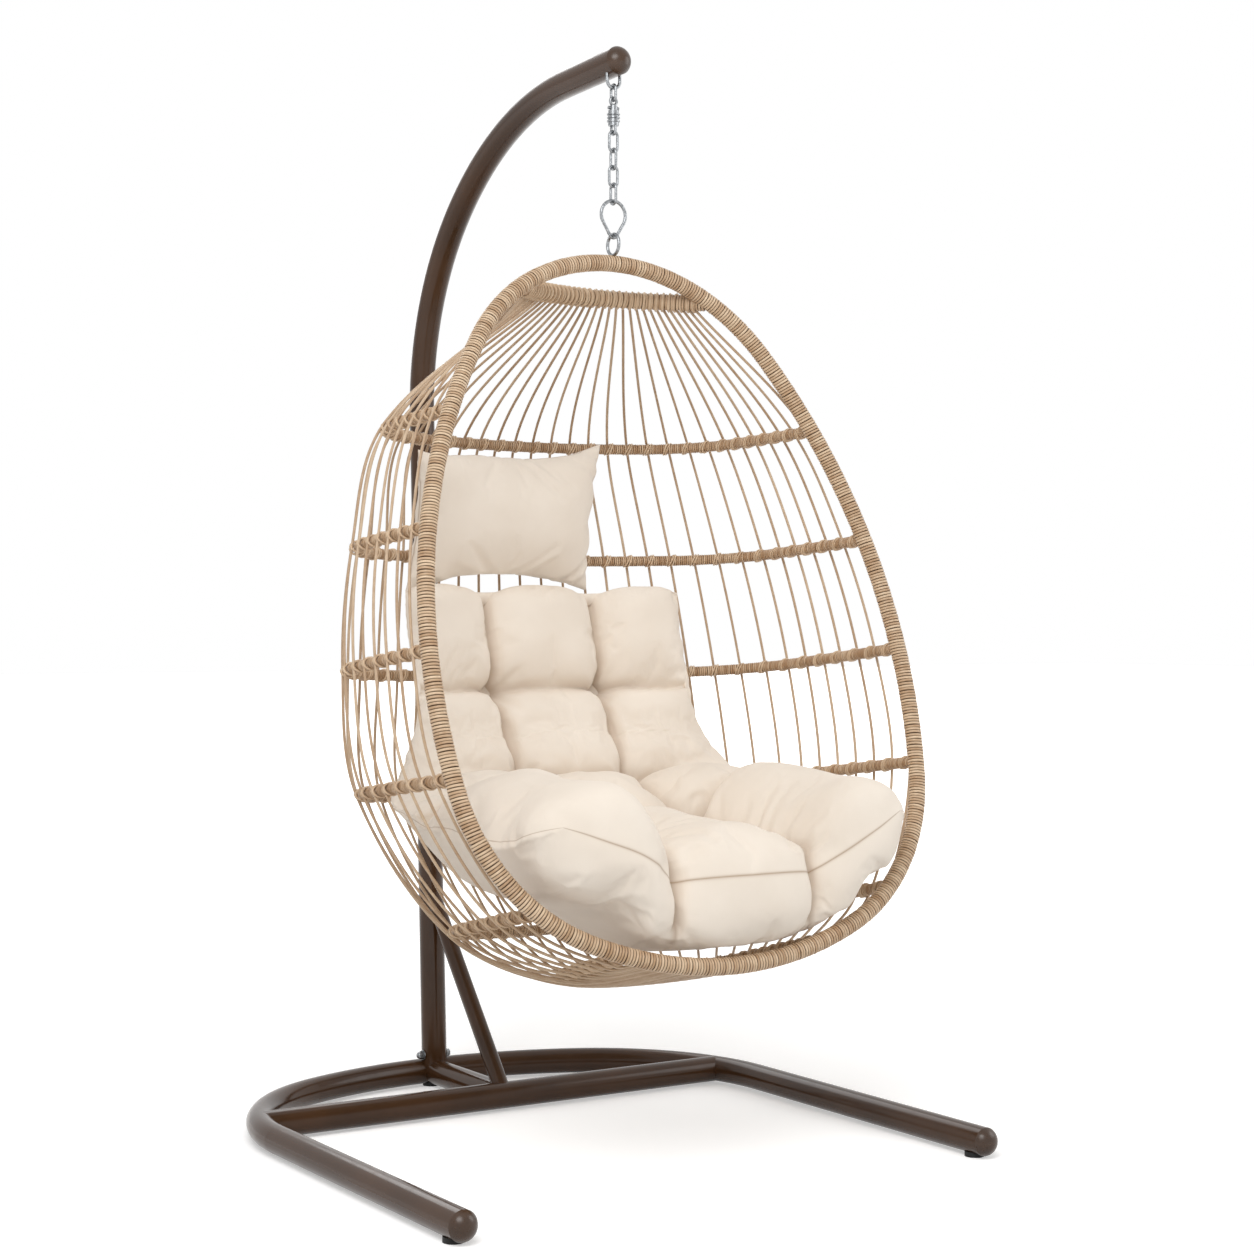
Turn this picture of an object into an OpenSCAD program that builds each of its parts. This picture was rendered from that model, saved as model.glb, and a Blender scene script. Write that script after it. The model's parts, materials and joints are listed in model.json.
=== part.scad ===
// Hanging egg chair: a bent-tube stand, a swivelling chain and a wicker egg
// basket with a tufted seat cushion and a head pillow.
// Millimetres, +Z up, the sitter faces -Y. The origin is on the floor, at the
// middle of the chair's outline.

/* [Stand] */
// Outer diameter of the stand's tubes
tube_d = 50; // [40:1:60]
// Wall of the stand's tubes
tube_wall = 2; // [1.5:0.5:4]
// Height of the rubber pads under the stand
pad_h = 5; // [3:1:12]
// Distance between the two legs' centre lines
leg_span = 1030; // [900:10:1200]
// Reach of a leg's open end in front of the column
leg_reach = 1068; // [950:2:1200]
// Bend radius of the base behind the legs
corner_bend_r = 380; // [300:5:450]
// Turn of each corner bend, in degrees
corner_turn = 65; // [55:1:75]
// Distance from the column forward to the cross tube
cross_reach = 277; // [200:1:400]
// Backward lean of the column, in degrees
column_lean = 2.5; // [0:0.5:5]
// Straight length of the column and the foot of the arm
column_straight = 1326; // [1200:2:1500]
// Height along the column where the arm plugs on
seam_at = 950; // [800:10:1100]

/* [Arm] */
// First bend radius of the arm
arm_bend_r1 = 504; // [400:2:600]
// First turn of the arm, in degrees
arm_turn1 = 46.5; // [40:0.5:55]
// Second bend radius of the arm
arm_bend_r2 = 610; // [500:5:800]
// Second turn of the arm, in degrees
arm_turn2 = 44.3; // [35:0.1:48]
// Straight tip of the arm
arm_tip = 182; // [120:2:240]
// Distance from the arm's open end back to the hanging eye
eye_inset = 17; // [14:1:30]

/* [Chain] */
// Wire diameter of the chain links
link_wire = 5; // [4:0.5:6]
// Outer length of a chain link
link_length = 41; // [36:1:48]
// Outer width of a chain link
link_width = 22; // [20:1:26]
// Wire diameter of the eyes and the carabiner
hook_wire = 6; // [5:0.5:8]
// Width over the carabiner's head, between wire centres
carabiner_head = 50; // [40:1:60]
// Outer length of the carabiner
carabiner_length = 71; // [65:1:90]
// Opening travel of the carabiner's gate, in degrees
gate_travel = 28; // [20:1:35]

/* [Basket] */
// Height of the rim along its own plane, between wire centres
rim_length = 1246; // [1150:2:1350]
// Backward tilt of the rim's top, in degrees
rim_tilt = 17.2; // [10:0.2:22]
// Diameter over the rim's winding
rim_d = 30; // [26:1:36]
// Diameter of the rim's steel tube
rim_core_d = 22; // [18:1:24]
// Diameter over a hoop's winding
hoop_d = 20; // [16:1:24]
// Diameter of a hoop's steel rod
hoop_core_d = 8; // [6:1:10]
// Number of lengthwise strands
strand_count = 35; // [25:2:35]
// Diameter of a strand
strand_d = 5; // [4:0.5:6]

/* [Cushions] */
// Width of the seat cushion's back panel
cushion_top_w = 600; // [480:10:620]
// Width of the seat cushion across the seat
cushion_seat_w = 810; // [700:10:830]
// Depth of the sewn creases
crease_depth = 24; // [10:1:35]
// Width of the head pillow
pillow_w = 410; // [340:5:460]
// Height of the head pillow
pillow_h = 270; // [220:5:320]
// Thickness of the head pillow
pillow_t = 105; // [80:5:130]

/* [Hidden] */
$fn = 48;
gap = 0.3;
// How far joined stretches of a tube run into each other, and how much slimmer
// the inner one is.
lap = 1;
hair = 0.05;

// Stand
tube_r = tube_d / 2;
tube_in = tube_r - tube_wall;
base_z = pad_h + tube_r;
cap_dome = 18;
plug_r = tube_in - 0.2;
spigot_r = tube_in - 0.3;
spigot_in = spigot_r - 2.4;
leg_x = leg_span / 2;
// The rear bow closes the base on the other leg's line.
bow_turn = 180 - 2 * corner_turn;
bow_bend_r = (leg_x - corner_bend_r * (1 - cos(corner_turn))) / cos(corner_turn);
// The column's foot sits where the chair's outline comes out centred on y = 0.
rear_reach = sin(column_lean) * column_straight + arm_bend_r1 * (1 - cos(column_lean)) + tube_r;
column_y = (leg_reach + cap_dome - rear_reach) / 2;
leg_front_y = column_y - leg_reach;
bend_offset_x = leg_x - corner_bend_r;
bow_offset_y = (bow_bend_r - corner_bend_r) * sin(corner_turn);
bow_y = column_y + 14;
corner_y = bow_y - bow_bend_r + bow_offset_y;
leg_straight = corner_y - leg_front_y;
cross_y = column_y - cross_reach;
cross_half = bend_offset_x
    + sqrt(corner_bend_r * corner_bend_r - (cross_y - corner_y) * (cross_y - corner_y));
brace_r = 16;
brace_wall = 1.6;
brace_foot_z = base_z + 8;
brace_head_z = 392;
bolt_r = 4;
bolt_z = pad_h + tube_d + 10;

// A point on the arm's centre line: [forward, up] from the start of its bends.
arm_heading = arm_turn1 + arm_turn2;
arm_fwd = arm_bend_r1 * (1 - cos(arm_turn1))
    + arm_bend_r2 * (cos(arm_turn1) - cos(arm_heading)) + arm_tip * sin(arm_heading);
arm_up = column_straight + arm_bend_r1 * sin(arm_turn1)
    + arm_bend_r2 * (sin(arm_heading) - sin(arm_turn1)) + arm_tip * cos(arm_heading);
arm_end_y = column_y - arm_fwd * cos(column_lean) + arm_up * sin(column_lean);
arm_end_z = base_z + arm_fwd * sin(column_lean) + arm_up * cos(column_lean);
hang_y = arm_end_y + eye_inset;
hang_z = arm_end_z - eye_inset * cos(arm_heading - column_lean);

// Chain: every z is the centre of the wire at the named contact, from the top.
wire_r = link_wire / 2;
hook_r = hook_wire / 2;
seat_step = wire_r * 2 + gap;
hook_step = wire_r + hook_r + gap;
eye_half = 13;
eye_z = hang_z - 45;
top_link_length = 33;
top_link_z = eye_z - hook_r - wire_r - gap + 2 * (hook_r + wire_r + gap);
top_link_low = top_link_z - top_link_length + link_wire;
swivel_ring_r = 6.5;
swivel_ring_wire = 2.5;
swivel_top = top_link_low + wire_r + swivel_ring_wire + gap;
head_top = swivel_top - 2 * swivel_ring_r - swivel_ring_wire + 1;
hub_h = 8;
hub_r = 7;
barrel_r = 11.5;
barrel_h = 27;
shank_r = 3;
shank_fit = 0.06;
collar_r = 6.5;
collar_h = 3;
barrel_top = head_top - hub_h - gap;
barrel_low = barrel_top - barrel_h;
bow_half = 6.5;
bow_z = barrel_low - 15;
link_pitch = link_length - link_wire - seat_step;
link_z = [for (i = [0:3]) bow_z + seat_step - i * link_pitch];
chain_low = link_z[3] - link_length + link_wire;
carabiner_z = chain_low + hook_step;
head_r = carabiner_head / 2;
toe_r = 8;
head_z = carabiner_z - head_r;
toe_z = carabiner_z - (carabiner_length - hook_wire) + toe_r;
// The gate lies on the straight that touches the head's and the toe's bends.
flank = asin((head_r - toe_r) / (head_z - toe_z));
gate_length = (head_z - toe_z) * cos(flank);
gate_x = -toe_r * cos(flank);
gate_z = toe_z - toe_r * sin(flank);
pivot_up = 3.4;
gate_pin_r = 1.2;
toe_low = toe_z - toe_r;
basket_eye_r = 18.5;
basket_eye_z = toe_low + hook_r * 2 + gap - basket_eye_r;

// Basket
rim_r = rim_d / 2;
rim_core_r = rim_core_d / 2;
rim_core_wall = 1.6;
hoop_r = hoop_d / 2;
hoop_core_r = hoop_core_d / 2;
strand_r = strand_d / 2;
rim_top_z = basket_eye_z - basket_eye_r - hook_r - rim_r + 3;
rim_top_y = hang_y;
// Bends of half the rim, from its lowest point: radius and the heading at their end.
rim_r1 = 663;
rim_r2 = 333;
rim_a1 = 23.6;
rim_a2 = 80.7;
rim_a3 = 123.6;
rim_x2 = rim_r1 * sin(rim_a1) + rim_r2 * (sin(rim_a2) - sin(rim_a1));
rim_h2 = rim_r1 * (1 - cos(rim_a1)) + rim_r2 * (cos(rim_a1) - cos(rim_a2));
// The last two radii close the half rim on the middle line at rim_length.
rim_s = sin(rim_a3) - sin(rim_a2);
rim_c = cos(rim_a2) - cos(rim_a3);
rim_t = 1 + cos(rim_a3);
rim_r3 = ((rim_length - rim_h2) * sin(rim_a3) - rim_x2 * rim_t)
    / (rim_s * rim_t + rim_c * sin(rim_a3));
rim_r4 = (rim_length - rim_h2 - rim_r3 * rim_c) / rim_t;
RIM = [[rim_r1, 0, rim_a1], [rim_r2, rim_a1, rim_a2], [rim_r3, rim_a2, rim_a3],
       [rim_r4, rim_a3, 180]];

// Hoops from the top down: height of the ends on the rim, depth behind the
// rim, corner bend radius and the slope of the hoop's plane.
HOOPS = [[1280, 425, 200, 2.2], [1082, 468, 190, 4.2], [886, 510, 190, 6.2],
         [686, 552, 210, 7.2], [478, 470, 210, 12], [402, 330, 150, 15]];
hoop_a1 = 6;
hoop_a2 = 70;
end_fit = 1;
crown_z = 1507;
crown_depth = 100;
crown_rise = 4;
crown_core_r = 8;
strand_tie = hoop_r + strand_r + 0.6;
strand_end = rim_r - 1;
strand_sides = 5;
strand_foot = 165;
// Steps of a strand between the crown bar, the hoops and the rim's foot.
STRAND_STEPS = [5, 3, 3, 3, 5, 3, 3];
group_size = 5;

// Cushions
cushion_rings = 30;
cushion_sides = 38;
front_draw = 0.045;
top_shift = 14;
seam_half = 112;
seam_drift = 48;
crease_w = 20;
crease_share = 0.022;
lobe_lift = 105;
side_wrap = 42;
side_thin = 0.34;
front_thin = 0.4;
pillow_x = -80;
pillow_z = 1126;
pillow_lean = 9;
pillow_yaw = 6;
pillow_cells = 14;

wood_brown = "#4A3729";
zinc = "#A9ADB1";
wicker = "#CDAF86";
cream = "#EADFCD";

// ---------- Bent tubes ----------

// A ring section, or a full one where inner is 0.
module section(outer, inner) {
    difference() {
        circle(outer);
        if (inner > 0) circle(inner);
    }
}

// One stretch of a bent tube from the origin along +Y: a bend of radius r that turns
// left by size degrees, or a straight of length size where r is 0. before and after
// are the lengths by which its ends run on into its neighbours.
module stretch(r, size, outer, inner, before, after) {
    if (r == 0) {
        translate([0, -before, 0]) rotate([-90, 0, 0])
            linear_extrude(size + before + after) section(outer, inner);
    } else {
        degrees_per_mm = 180 / PI / r;
        translate([-r, 0, 0])
            rotate_extrude(start = -before * degrees_per_mm,
                           angle = size + (before + after) * degrees_per_mm)
                translate([r, 0]) section(outer, inner);
    }
}

// A tube from the origin along +Y through its stretches, each [radius, size]. Every
// second stretch is a hair slimmer, and its ends sit inside the wall of the next ones.
module bent_tube(stretches, outer, inner, closed = false, i = 0) {
    if (i < len(stretches)) {
        r = stretches[i][0];
        size = stretches[i][1];
        slim = i % 2 == 1 ? hair : 0;
        reach = i % 2 == 1 ? lap : 0;
        last = i == len(stretches) - 1 && !closed;
        stretch(r, size, outer - slim, inner > 0 ? inner + slim : 0, reach, last ? 0 : reach);
        translate([-r, r == 0 ? size : 0, 0]) rotate([0, 0, r == 0 ? 0 : size])
            translate([r, 0, 0]) bent_tube(stretches, outer, inner, closed, i + 1);
    }
}

// ---------- Stand ----------

base_bends = [[0, leg_straight], [corner_bend_r, corner_turn], [bow_bend_r, bow_turn],
              [corner_bend_r, corner_turn], [0, leg_straight]];

module base_run(outer, inner) {
    translate([leg_x, leg_front_y, base_z]) bent_tube(base_bends, outer, inner);
}

module spine_run(outer, inner) {
    translate([0, cross_y, base_z]) rotate([-90, 0, 0])
        linear_extrude(bow_y - cross_y) section(outer, inner);
}

module cross_run(outer, inner) {
    translate([-cross_half, cross_y, base_z]) rotate([0, 90, 0])
        linear_extrude(2 * cross_half) section(outer, inner);
}

// The column's own frame: its foot at the origin and its axis along +Z.
module on_column() {
    translate([0, column_y, base_z]) rotate([-column_lean, 0, 0]) children();
}

// The column's frame with +Z along its axis turned to the bends' flat frame.
module arm_frame() {
    on_column() rotate([90, 0, 90]) children();
}

module base_tube() {
    color(wood_brown) base_run(tube_r, tube_in);
}

module cross_tube() {
    color(wood_brown) difference() {
        cross_run(tube_r, tube_in);
        base_run(tube_r, 0);
    }
}

module spine_tube() {
    color(wood_brown) difference() {
        spine_run(tube_r, tube_in);
        base_run(tube_r + hair, 0);
        cross_run(tube_r + hair, 0);
    }
}

// Saddle of the base under anything that stands on the rear bow.
module base_saddle() {
    base_run(tube_r, 0);
    spine_run(tube_r, 0);
}

module bolt_hole(r) {
    translate([-tube_d, column_y, bolt_z]) rotate([0, 90, 0]) cylinder(h = 2 * tube_d, r = r);
}

module column_spigot() {
    color(wood_brown) difference() {
        on_column() linear_extrude(170) section(spigot_r, spigot_in);
        base_saddle();
        bolt_hole(bolt_r);
    }
}

module column() {
    color(wood_brown) difference() {
        on_column() linear_extrude(seam_at) section(tube_r, tube_in);
        base_saddle();
        bolt_hole(bolt_r);
        on_column() screw_holes(-screw_step);
    }
}

screw_step = 45;
screw_r = 3;

module screw_holes(along) {
    translate([0, 0, seam_at + along]) rotate([-90, 0, 0]) cylinder(h = tube_d, r = screw_r);
}

module arm_spigot() {
    color(wood_brown) difference() {
        on_column() translate([0, 0, seam_at - 100]) linear_extrude(200)
            section(spigot_r, spigot_in);
        for (along = [-screw_step, screw_step]) on_column() screw_holes(along);
    }
}

arm_bends = [[0, column_straight - seam_at], [arm_bend_r1, arm_turn1],
             [arm_bend_r2, arm_turn2], [0, arm_tip]];

module arm() {
    color(wood_brown) difference() {
        arm_frame() translate([0, seam_at, 0]) bent_tube(arm_bends, tube_r, tube_in);
        on_column() screw_holes(screw_step);
        eye_legs();
    }
}

module brace() {
    foot = [column_y - cross_reach, brace_foot_z];
    head = [column_y + (brace_head_z - base_z) * sin(column_lean), brace_head_z];
    rise = head - foot;
    color(wood_brown) difference() {
        translate([0, foot[0], foot[1]]) rotate([-atan2(rise[0], rise[1]), 0, 0])
            linear_extrude(norm(rise)) section(brace_r, brace_r - brace_wall);
        cross_run(tube_r, 0);
        spine_run(tube_r, 0);
        on_column() cylinder(h = seam_at, r = tube_r);
    }
}

bolt_tail = tube_r + 2;

// The column bolt with its hexagon head and washer on the +X side.
module column_bolt() {
    color(zinc) translate([0, column_y, bolt_z]) rotate([0, 90, 0]) {
        translate([0, 0, -bolt_tail - 8]) cylinder(h = 2 * bolt_tail + 8, r = bolt_r);
        translate([0, 0, bolt_tail]) cylinder(h = 5.5, r = 7.2, $fn = 6);
        translate([0, 0, tube_r]) cylinder(h = 2, r = 8.5);
    }
}

// The domed nut and its washer on the -X side of the column.
module column_cap_nut() {
    color(zinc) translate([0, column_y, bolt_z]) rotate([0, -90, 0]) difference() {
        union() {
            translate([0, 0, tube_r]) cylinder(h = 2, r = 10);
            translate([0, 0, tube_r + 2]) cylinder(h = 6, r = 8, $fn = 6);
            translate([0, 0, tube_r + 8]) intersection() {
                sphere(7);
                cylinder(h = 7, r = 7);
            }
        }
        cylinder(h = bolt_tail + 8, r = bolt_r);
    }
}

// Two button screws in the back of the column, either side of the arm's seam.
module arm_screws() {
    color(zinc) for (along = [-screw_step, screw_step])
        on_column() translate([0, spigot_in, seam_at + along]) rotate([-90, 0, 0]) {
            cylinder(h = tube_r - spigot_in, r = screw_r);
            translate([0, 0, tube_r - spigot_in]) intersection() {
                cylinder(h = 4, r = 6);
                translate([0, 0, -4]) sphere(8);
            }
        }
}

// A domed end cap on +Y with a plug that sits in the tube behind it.
module tube_cap() {
    dome_r = (tube_r * tube_r + cap_dome * cap_dome) / (2 * cap_dome);
    rotate([-90, 0, 0]) {
        intersection() {
            translate([0, 0, cap_dome - dome_r]) sphere(dome_r, $fn = 64);
            cylinder(h = cap_dome, r = tube_r, $fn = 64);
        }
        translate([0, 0, -12]) linear_extrude(12) section(plug_r, plug_r - 2.5);
    }
}

module leg_caps() {
    color(wood_brown) for (side = [-1, 1])
        translate([side * leg_x, leg_front_y, base_z]) mirror([0, 1, 0]) tube_cap();
}

module arm_cap() {
    color(wood_brown) arm_frame()
        translate([-arm_fwd, arm_up, 0]) rotate([0, 0, arm_heading]) tube_cap();
}

pad_r = 17;
pad_corner = 30;

module foot_pads() {
    pad_places = concat(
        [for (side = [-1, 1]) [side * leg_x, leg_front_y + 30]],
        [for (side = [-1, 1]) [side * (bend_offset_x + corner_bend_r * cos(pad_corner)),
                               corner_y + corner_bend_r * sin(pad_corner)]],
        [[0, bow_y]]);
    color("#1C1A19") difference() {
        for (place = pad_places) translate([place[0], place[1], 0])
            cylinder(h = pad_h + 4, r = pad_r);
        base_run(tube_r, 0);
        spine_run(tube_r, 0);
    }
}

module eye_legs() {
    for (side = [-1, 1]) translate([side * eye_half, hang_y, eye_z + eye_half])
        cylinder(h = 22, r = hook_r);
}

// The eye of round bar welded into the underside of the arm.
module hang_eye() {
    color(zinc) {
        eye_legs();
        translate([0, hang_y, eye_z + eye_half]) rotate([-90, 0, 0])
            rotate_extrude(angle = 180) translate([eye_half, 0]) circle(hook_r);
    }
}

// ---------- Chain ----------

// An oval link in the XZ plane that hangs down from its top wire at the origin.
module oval_link(length, width, r) {
    bend = width / 2 - r;
    drop = length - 2 * r - 2 * bend;
    translate([0, 0, -bend]) rotate([90, 0, 0])
        rotate_extrude(angle = 180) translate([bend, 0]) circle(r);
    translate([0, 0, -bend - drop]) rotate([-90, 0, 0])
        rotate_extrude(angle = 180) translate([bend, 0]) circle(r);
    for (side = [-1, 1]) translate([side * bend, 0, -bend - drop]) cylinder(h = drop, r = r);
}

module at_chain(z) {
    translate([0, hang_y, z]) children();
}

module top_link() {
    color(zinc) at_chain(top_link_z) rotate([0, 0, 90])
        oval_link(top_link_length, link_width - 2, wire_r);
}

// The swivel's eye, its hub with two bosses, and the shank with its collar.
module swivel_head() {
    color(zinc) {
        at_chain(swivel_top - swivel_ring_r) rotate([90, 0, 0])
            rotate_extrude() translate([swivel_ring_r, 0]) circle(swivel_ring_wire);
        at_chain(head_top - hub_h) cylinder(h = hub_h, r = hub_r);
        for (side = [-1, 1]) at_chain(head_top - hub_h / 2) rotate([0, 90 * side, 0])
            cylinder(h = hub_r + 3.5, r = 3);
        at_chain(barrel_top - 12) cylinder(h = 13, r = shank_r);
        at_chain(barrel_top - 12 - collar_h) cylinder(h = collar_h, r = collar_r);
    }
}

// Half of the barrel's section: three ribs outside, the shank's bore and the
// collar's chamber inside.
barrel_profile = [
    [shank_r + shank_fit, 0], [barrel_r - 2, 0], [barrel_r - 2, -5], [barrel_r, -6],
    [barrel_r, -8], [barrel_r - 2, -9], [barrel_r - 2, -11], [barrel_r, -12],
    [barrel_r, -14], [barrel_r - 2, -15], [barrel_r - 2, -17], [barrel_r, -18],
    [barrel_r, -20], [barrel_r - 2, -21], [barrel_r - 2, -barrel_h], [0, -barrel_h],
    [0, -20], [collar_r + 1, -20], [collar_r + 1, -11.5], [shank_r + shank_fit, -11.5]
];

module swivel_barrel() {
    color(zinc) {
        at_chain(barrel_top) rotate_extrude() polygon(barrel_profile);
        for (side = [-1, 1]) translate([0, hang_y + side * bow_half, bow_z + bow_half])
            cylinder(h = barrel_low - bow_z - bow_half + 1, r = wire_r);
        at_chain(bow_z + bow_half) rotate([0, 0, 90]) rotate([-90, 0, 0])
            rotate_extrude(angle = 180) translate([bow_half, 0]) circle(wire_r);
    }
}

module chain_link(i) {
    color(zinc) at_chain(link_z[i]) rotate([0, 0, i % 2 == 0 ? 0 : 90])
        oval_link(link_length, link_width, wire_r);
}

// Places its children on the gate's line: the toe at the origin, the nose along +Z.
module on_gate() {
    translate([gate_x, hang_y, gate_z]) rotate([0, -flank, 0]) children();
}

module carabiner() {
    right_x = -gate_x;
    color(zinc) difference() {
        union() {
            at_chain(head_z) rotate([90, 0, 0]) rotate([0, 0, -flank])
                rotate_extrude(angle = 180 + 2 * flank) translate([head_r, 0]) circle(hook_r);
            at_chain(toe_z) rotate([90, 0, 0]) rotate([0, 0, 180 + flank])
                rotate_extrude(angle = 180 - 2 * flank) translate([toe_r, 0]) circle(hook_r);
            translate([right_x, hang_y, gate_z]) rotate([0, flank, 0])
                translate([0, 0, -lap]) cylinder(h = gate_length + 2 * lap, r = hook_r - hair);
            on_gate() tongue();
        }
        on_gate() translate([0, 0, pivot_up]) rotate([90, 0, 0])
            cylinder(h = 10, r = gate_pin_r + 0.05, center = true);
    }
}

// The flat tongue on the toe that the gate turns on.
module tongue() {
    translate([0, 0, pivot_up / 2 - 0.5]) cube([4.4, 2, pivot_up + 1], center = true);
    translate([0, 0, pivot_up]) rotate([90, 0, 0]) cylinder(h = 2, r = 2.2, center = true);
}

module carabiner_gate() {
    nose_gap = 0.6;
    color(zinc) on_gate() difference() {
        union() {
            translate([0, 0, pivot_up])
                cylinder(h = gate_length - nose_gap - pivot_up, r = hook_r - 0.1);
            translate([0, 0, pivot_up]) intersection() {
                rotate([90, 0, 0]) cylinder(h = hook_wire, r = 2.9, center = true);
                cylinder(h = hook_wire, r = hook_r - 0.1, center = true);
            }
        }
        translate([0, 0, pivot_up]) cube([hook_wire + 1, 2.8, 6.4], center = true);
        translate([0, 0, pivot_up]) rotate([90, 0, 0])
            cylinder(h = hook_wire + 1, r = gate_pin_r, center = true);
    }
}

module gate_pin() {
    color(zinc) on_gate() translate([0, 0, pivot_up]) rotate([90, 0, 0])
        cylinder(h = hook_wire - 1, r = gate_pin_r, center = true);
}

// ---------- Basket frame ----------

module basket_eye() {
    color(zinc) at_chain(basket_eye_z) rotate([0, 90, 0])
        rotate_extrude() translate([basket_eye_r, 0]) circle(hook_r);
}

// The rim's plane: the origin at its lowest point, +Y up along the rim.
module rim_frame() {
    translate([0, rim_top_y - rim_length * sin(rim_tilt), rim_top_z - rim_length * cos(rim_tilt)])
        rotate([90 - rim_tilt, 0, 0]) children();
}

function turn_of(bend) = [bend[0], bend[2] - bend[1]];
rim_half = [for (bend = RIM) turn_of(bend)];
rim_bends = [[rim_r1, 2 * rim_a1], rim_half[1], rim_half[2], [rim_r4, 2 * (180 - rim_a3)],
             rim_half[2], rim_half[1]];

module rim_run(outer, inner) {
    rim_frame() translate([0, rim_r1, 0]) rotate([0, 0, -90 - rim_a1])
        translate([rim_r1, 0, 0]) bent_tube(rim_bends, outer, inner, closed = true);
}

module rim_tube() {
    color("#8C7A63") rim_run(rim_core_r, rim_core_r - rim_core_wall);
}

module rim_winding() {
    color(wicker) rim_run(rim_r, rim_core_r);
}

// Where bend i of the half rim starts: [x, h] in the rim's plane.
function rim_start(i) = i == 0 ? [0, 0] : rim_start(i - 1) + RIM[i - 1][0]
    * [sin(RIM[i - 1][2]) - sin(RIM[i - 1][1]), cos(RIM[i - 1][1]) - cos(RIM[i - 1][2])];
function rim_bend_at(h, i = 0) = i < 3 && h > rim_start(i + 1)[1] ? rim_bend_at(h, i + 1) : i;
// Half width of the rim at height h along its plane.
function rim_half_width(h) = let(i = rim_bend_at(h), s = rim_start(i), b = RIM[i],
    a = acos(cos(b[1]) - (h - s[1]) / b[0])) s[0] + b[0] * (sin(a) - sin(b[1]));
function rim_h(z) = rim_length - (rim_top_z - z) / cos(rim_tilt);
function rim_y(z) = rim_top_y - (rim_top_z - z) * tan(rim_tilt);

// A hoop's outline for half width w: its two solved radii [side, back].
function hoop_radii(w, depth, corner) = let(
    a = 1 - cos(hoop_a1), b = cos(hoop_a2), c = sin(hoop_a1), d = 1 - sin(hoop_a2),
    p = w - corner * (cos(hoop_a1) - cos(hoop_a2)),
    q = depth - corner * (sin(hoop_a2) - sin(hoop_a1)), det = a * d - b * c)
    [(p * d - q * b) / det, (a * q - c * p) / det];

// The bends of half a hoop, each [radius, heading at its start, heading at its end].
function hoop_bends(i) = let(hoop = HOOPS[i], w = rim_half_width(rim_h(hoop[0])),
    r = hoop_radii(w, hoop[1], hoop[2]))
    [[r[0], 0, hoop_a1], [hoop[2], hoop_a1, hoop_a2], [r[1], hoop_a2, 90]];

// Places its children in a hoop's plane, at the middle of its ends and flat on Z.
module hoop_frame(z, slope) {
    translate([0, rim_y(z), z]) rotate([-slope, 0, 0]) children();
}

// A hoop from rim to rim, cut back by start at both ends.
module hoop_run(i, outer, inner, start) {
    bends = hoop_bends(i);
    side_r = bends[0][0];
    cut = start / side_r * 180 / PI;
    half = [for (bend = bends) turn_of(bend)];
    hoop_frame(HOOPS[i][0], HOOPS[i][3])
        translate([rim_half_width(rim_h(HOOPS[i][0])) - side_r, 0, 0])
            rotate([0, 0, cut]) translate([side_r, 0, 0])
                bent_tube([[side_r, hoop_a1 - cut], half[1], [half[2][0], 2 * half[2][1]],
                           half[1], [side_r, hoop_a1 - cut]], outer, inner);
}

module hoop(i) {
    color(wicker) hoop_run(i, hoop_r, hoop_core_r, rim_r - end_fit / 2);
}

module hoop_rods() {
    color("#8C7A63") for (i = [0:5]) hoop_run(i, hoop_core_r, 0, rim_core_r + 1.5);
}

crown_half = rim_half_width(rim_h(crown_z));
crown_r = (crown_half * crown_half + crown_depth * crown_depth) / (2 * crown_depth);
crown_angle = asin(crown_half / crown_r);

// The crown bar is one bend between the rim's shoulders.
module crown_run(outer, inner, start) {
    cut = start / crown_r * 180 / PI;
    hoop_frame(crown_z, -crown_rise)
        translate([0, crown_depth - crown_r, 0]) rotate([0, 0, 90 - crown_angle + cut])
            rotate_extrude(angle = 2 * (crown_angle - cut)) translate([crown_r, 0])
                section(outer, inner);
}

module crown_rod() {
    color("#8C7A63") crown_run(crown_core_r, 0, rim_core_r + 11);
}

module crown_winding() {
    color(wicker) difference() {
        crown_run(rim_r, crown_core_r, 0);
        rim_run(rim_r - end_fit, 0);
    }
}

// ---------- Strands ----------

function unit(v) = v / norm(v);

// Length of a hoop's half, and the point at distance s along it, pushed out by off.
function bend_length(b) = b[0] * (b[2] - b[1]) * PI / 180;
function half_length(bends) = bend_length(bends[0]) + bend_length(bends[1])
    + bend_length(bends[2]);
function walk(bends, at, s, off, i = 0) = let(b = bends[i], l = bend_length(b))
    s > l && i < 2
        ? walk(bends, at + b[0] * [cos(b[2]) - cos(b[1]), sin(b[2]) - sin(b[1])], s - l,
               off, i + 1)
        : let(a = b[1] + s / b[0] * 180 / PI)
            at + b[0] * [cos(a) - cos(b[1]), sin(a) - sin(b[1])] + off * [cos(a), sin(a)];

// A point of a hoop's plane in the chair's frame.
function in_hoop(p, z, slope) = [p[0], rim_y(z) + p[1] * cos(slope), z - p[1] * sin(slope)];

// Strand k's share of a hoop's half, from 0 at the rim to 1 at the middle of the back.
function share(k, least) = let(t = abs(2 * k / (strand_count - 1) - 1))
    1 - t * (1 - least);
function side_of(k) = k * 2 < strand_count - 1 ? 1 : -1;
function mirrored(p, side) = [side * p[0], p[1], p[2]];

// Where strand k crosses hoop i's centre line, moved by push outward and by past along it.
function hoop_point(i, k, push = 0, past = 0) = let(bends = hoop_bends(i),
    half = half_length(bends), w = rim_half_width(rim_h(HOOPS[i][0])),
    least = (rim_r + 4 * strand_r + 6) / half)
    mirrored(in_hoop(walk(bends, [w, 0], half * share(k, least) + past, push),
                     HOOPS[i][0], HOOPS[i][3]), side_of(k));

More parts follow.
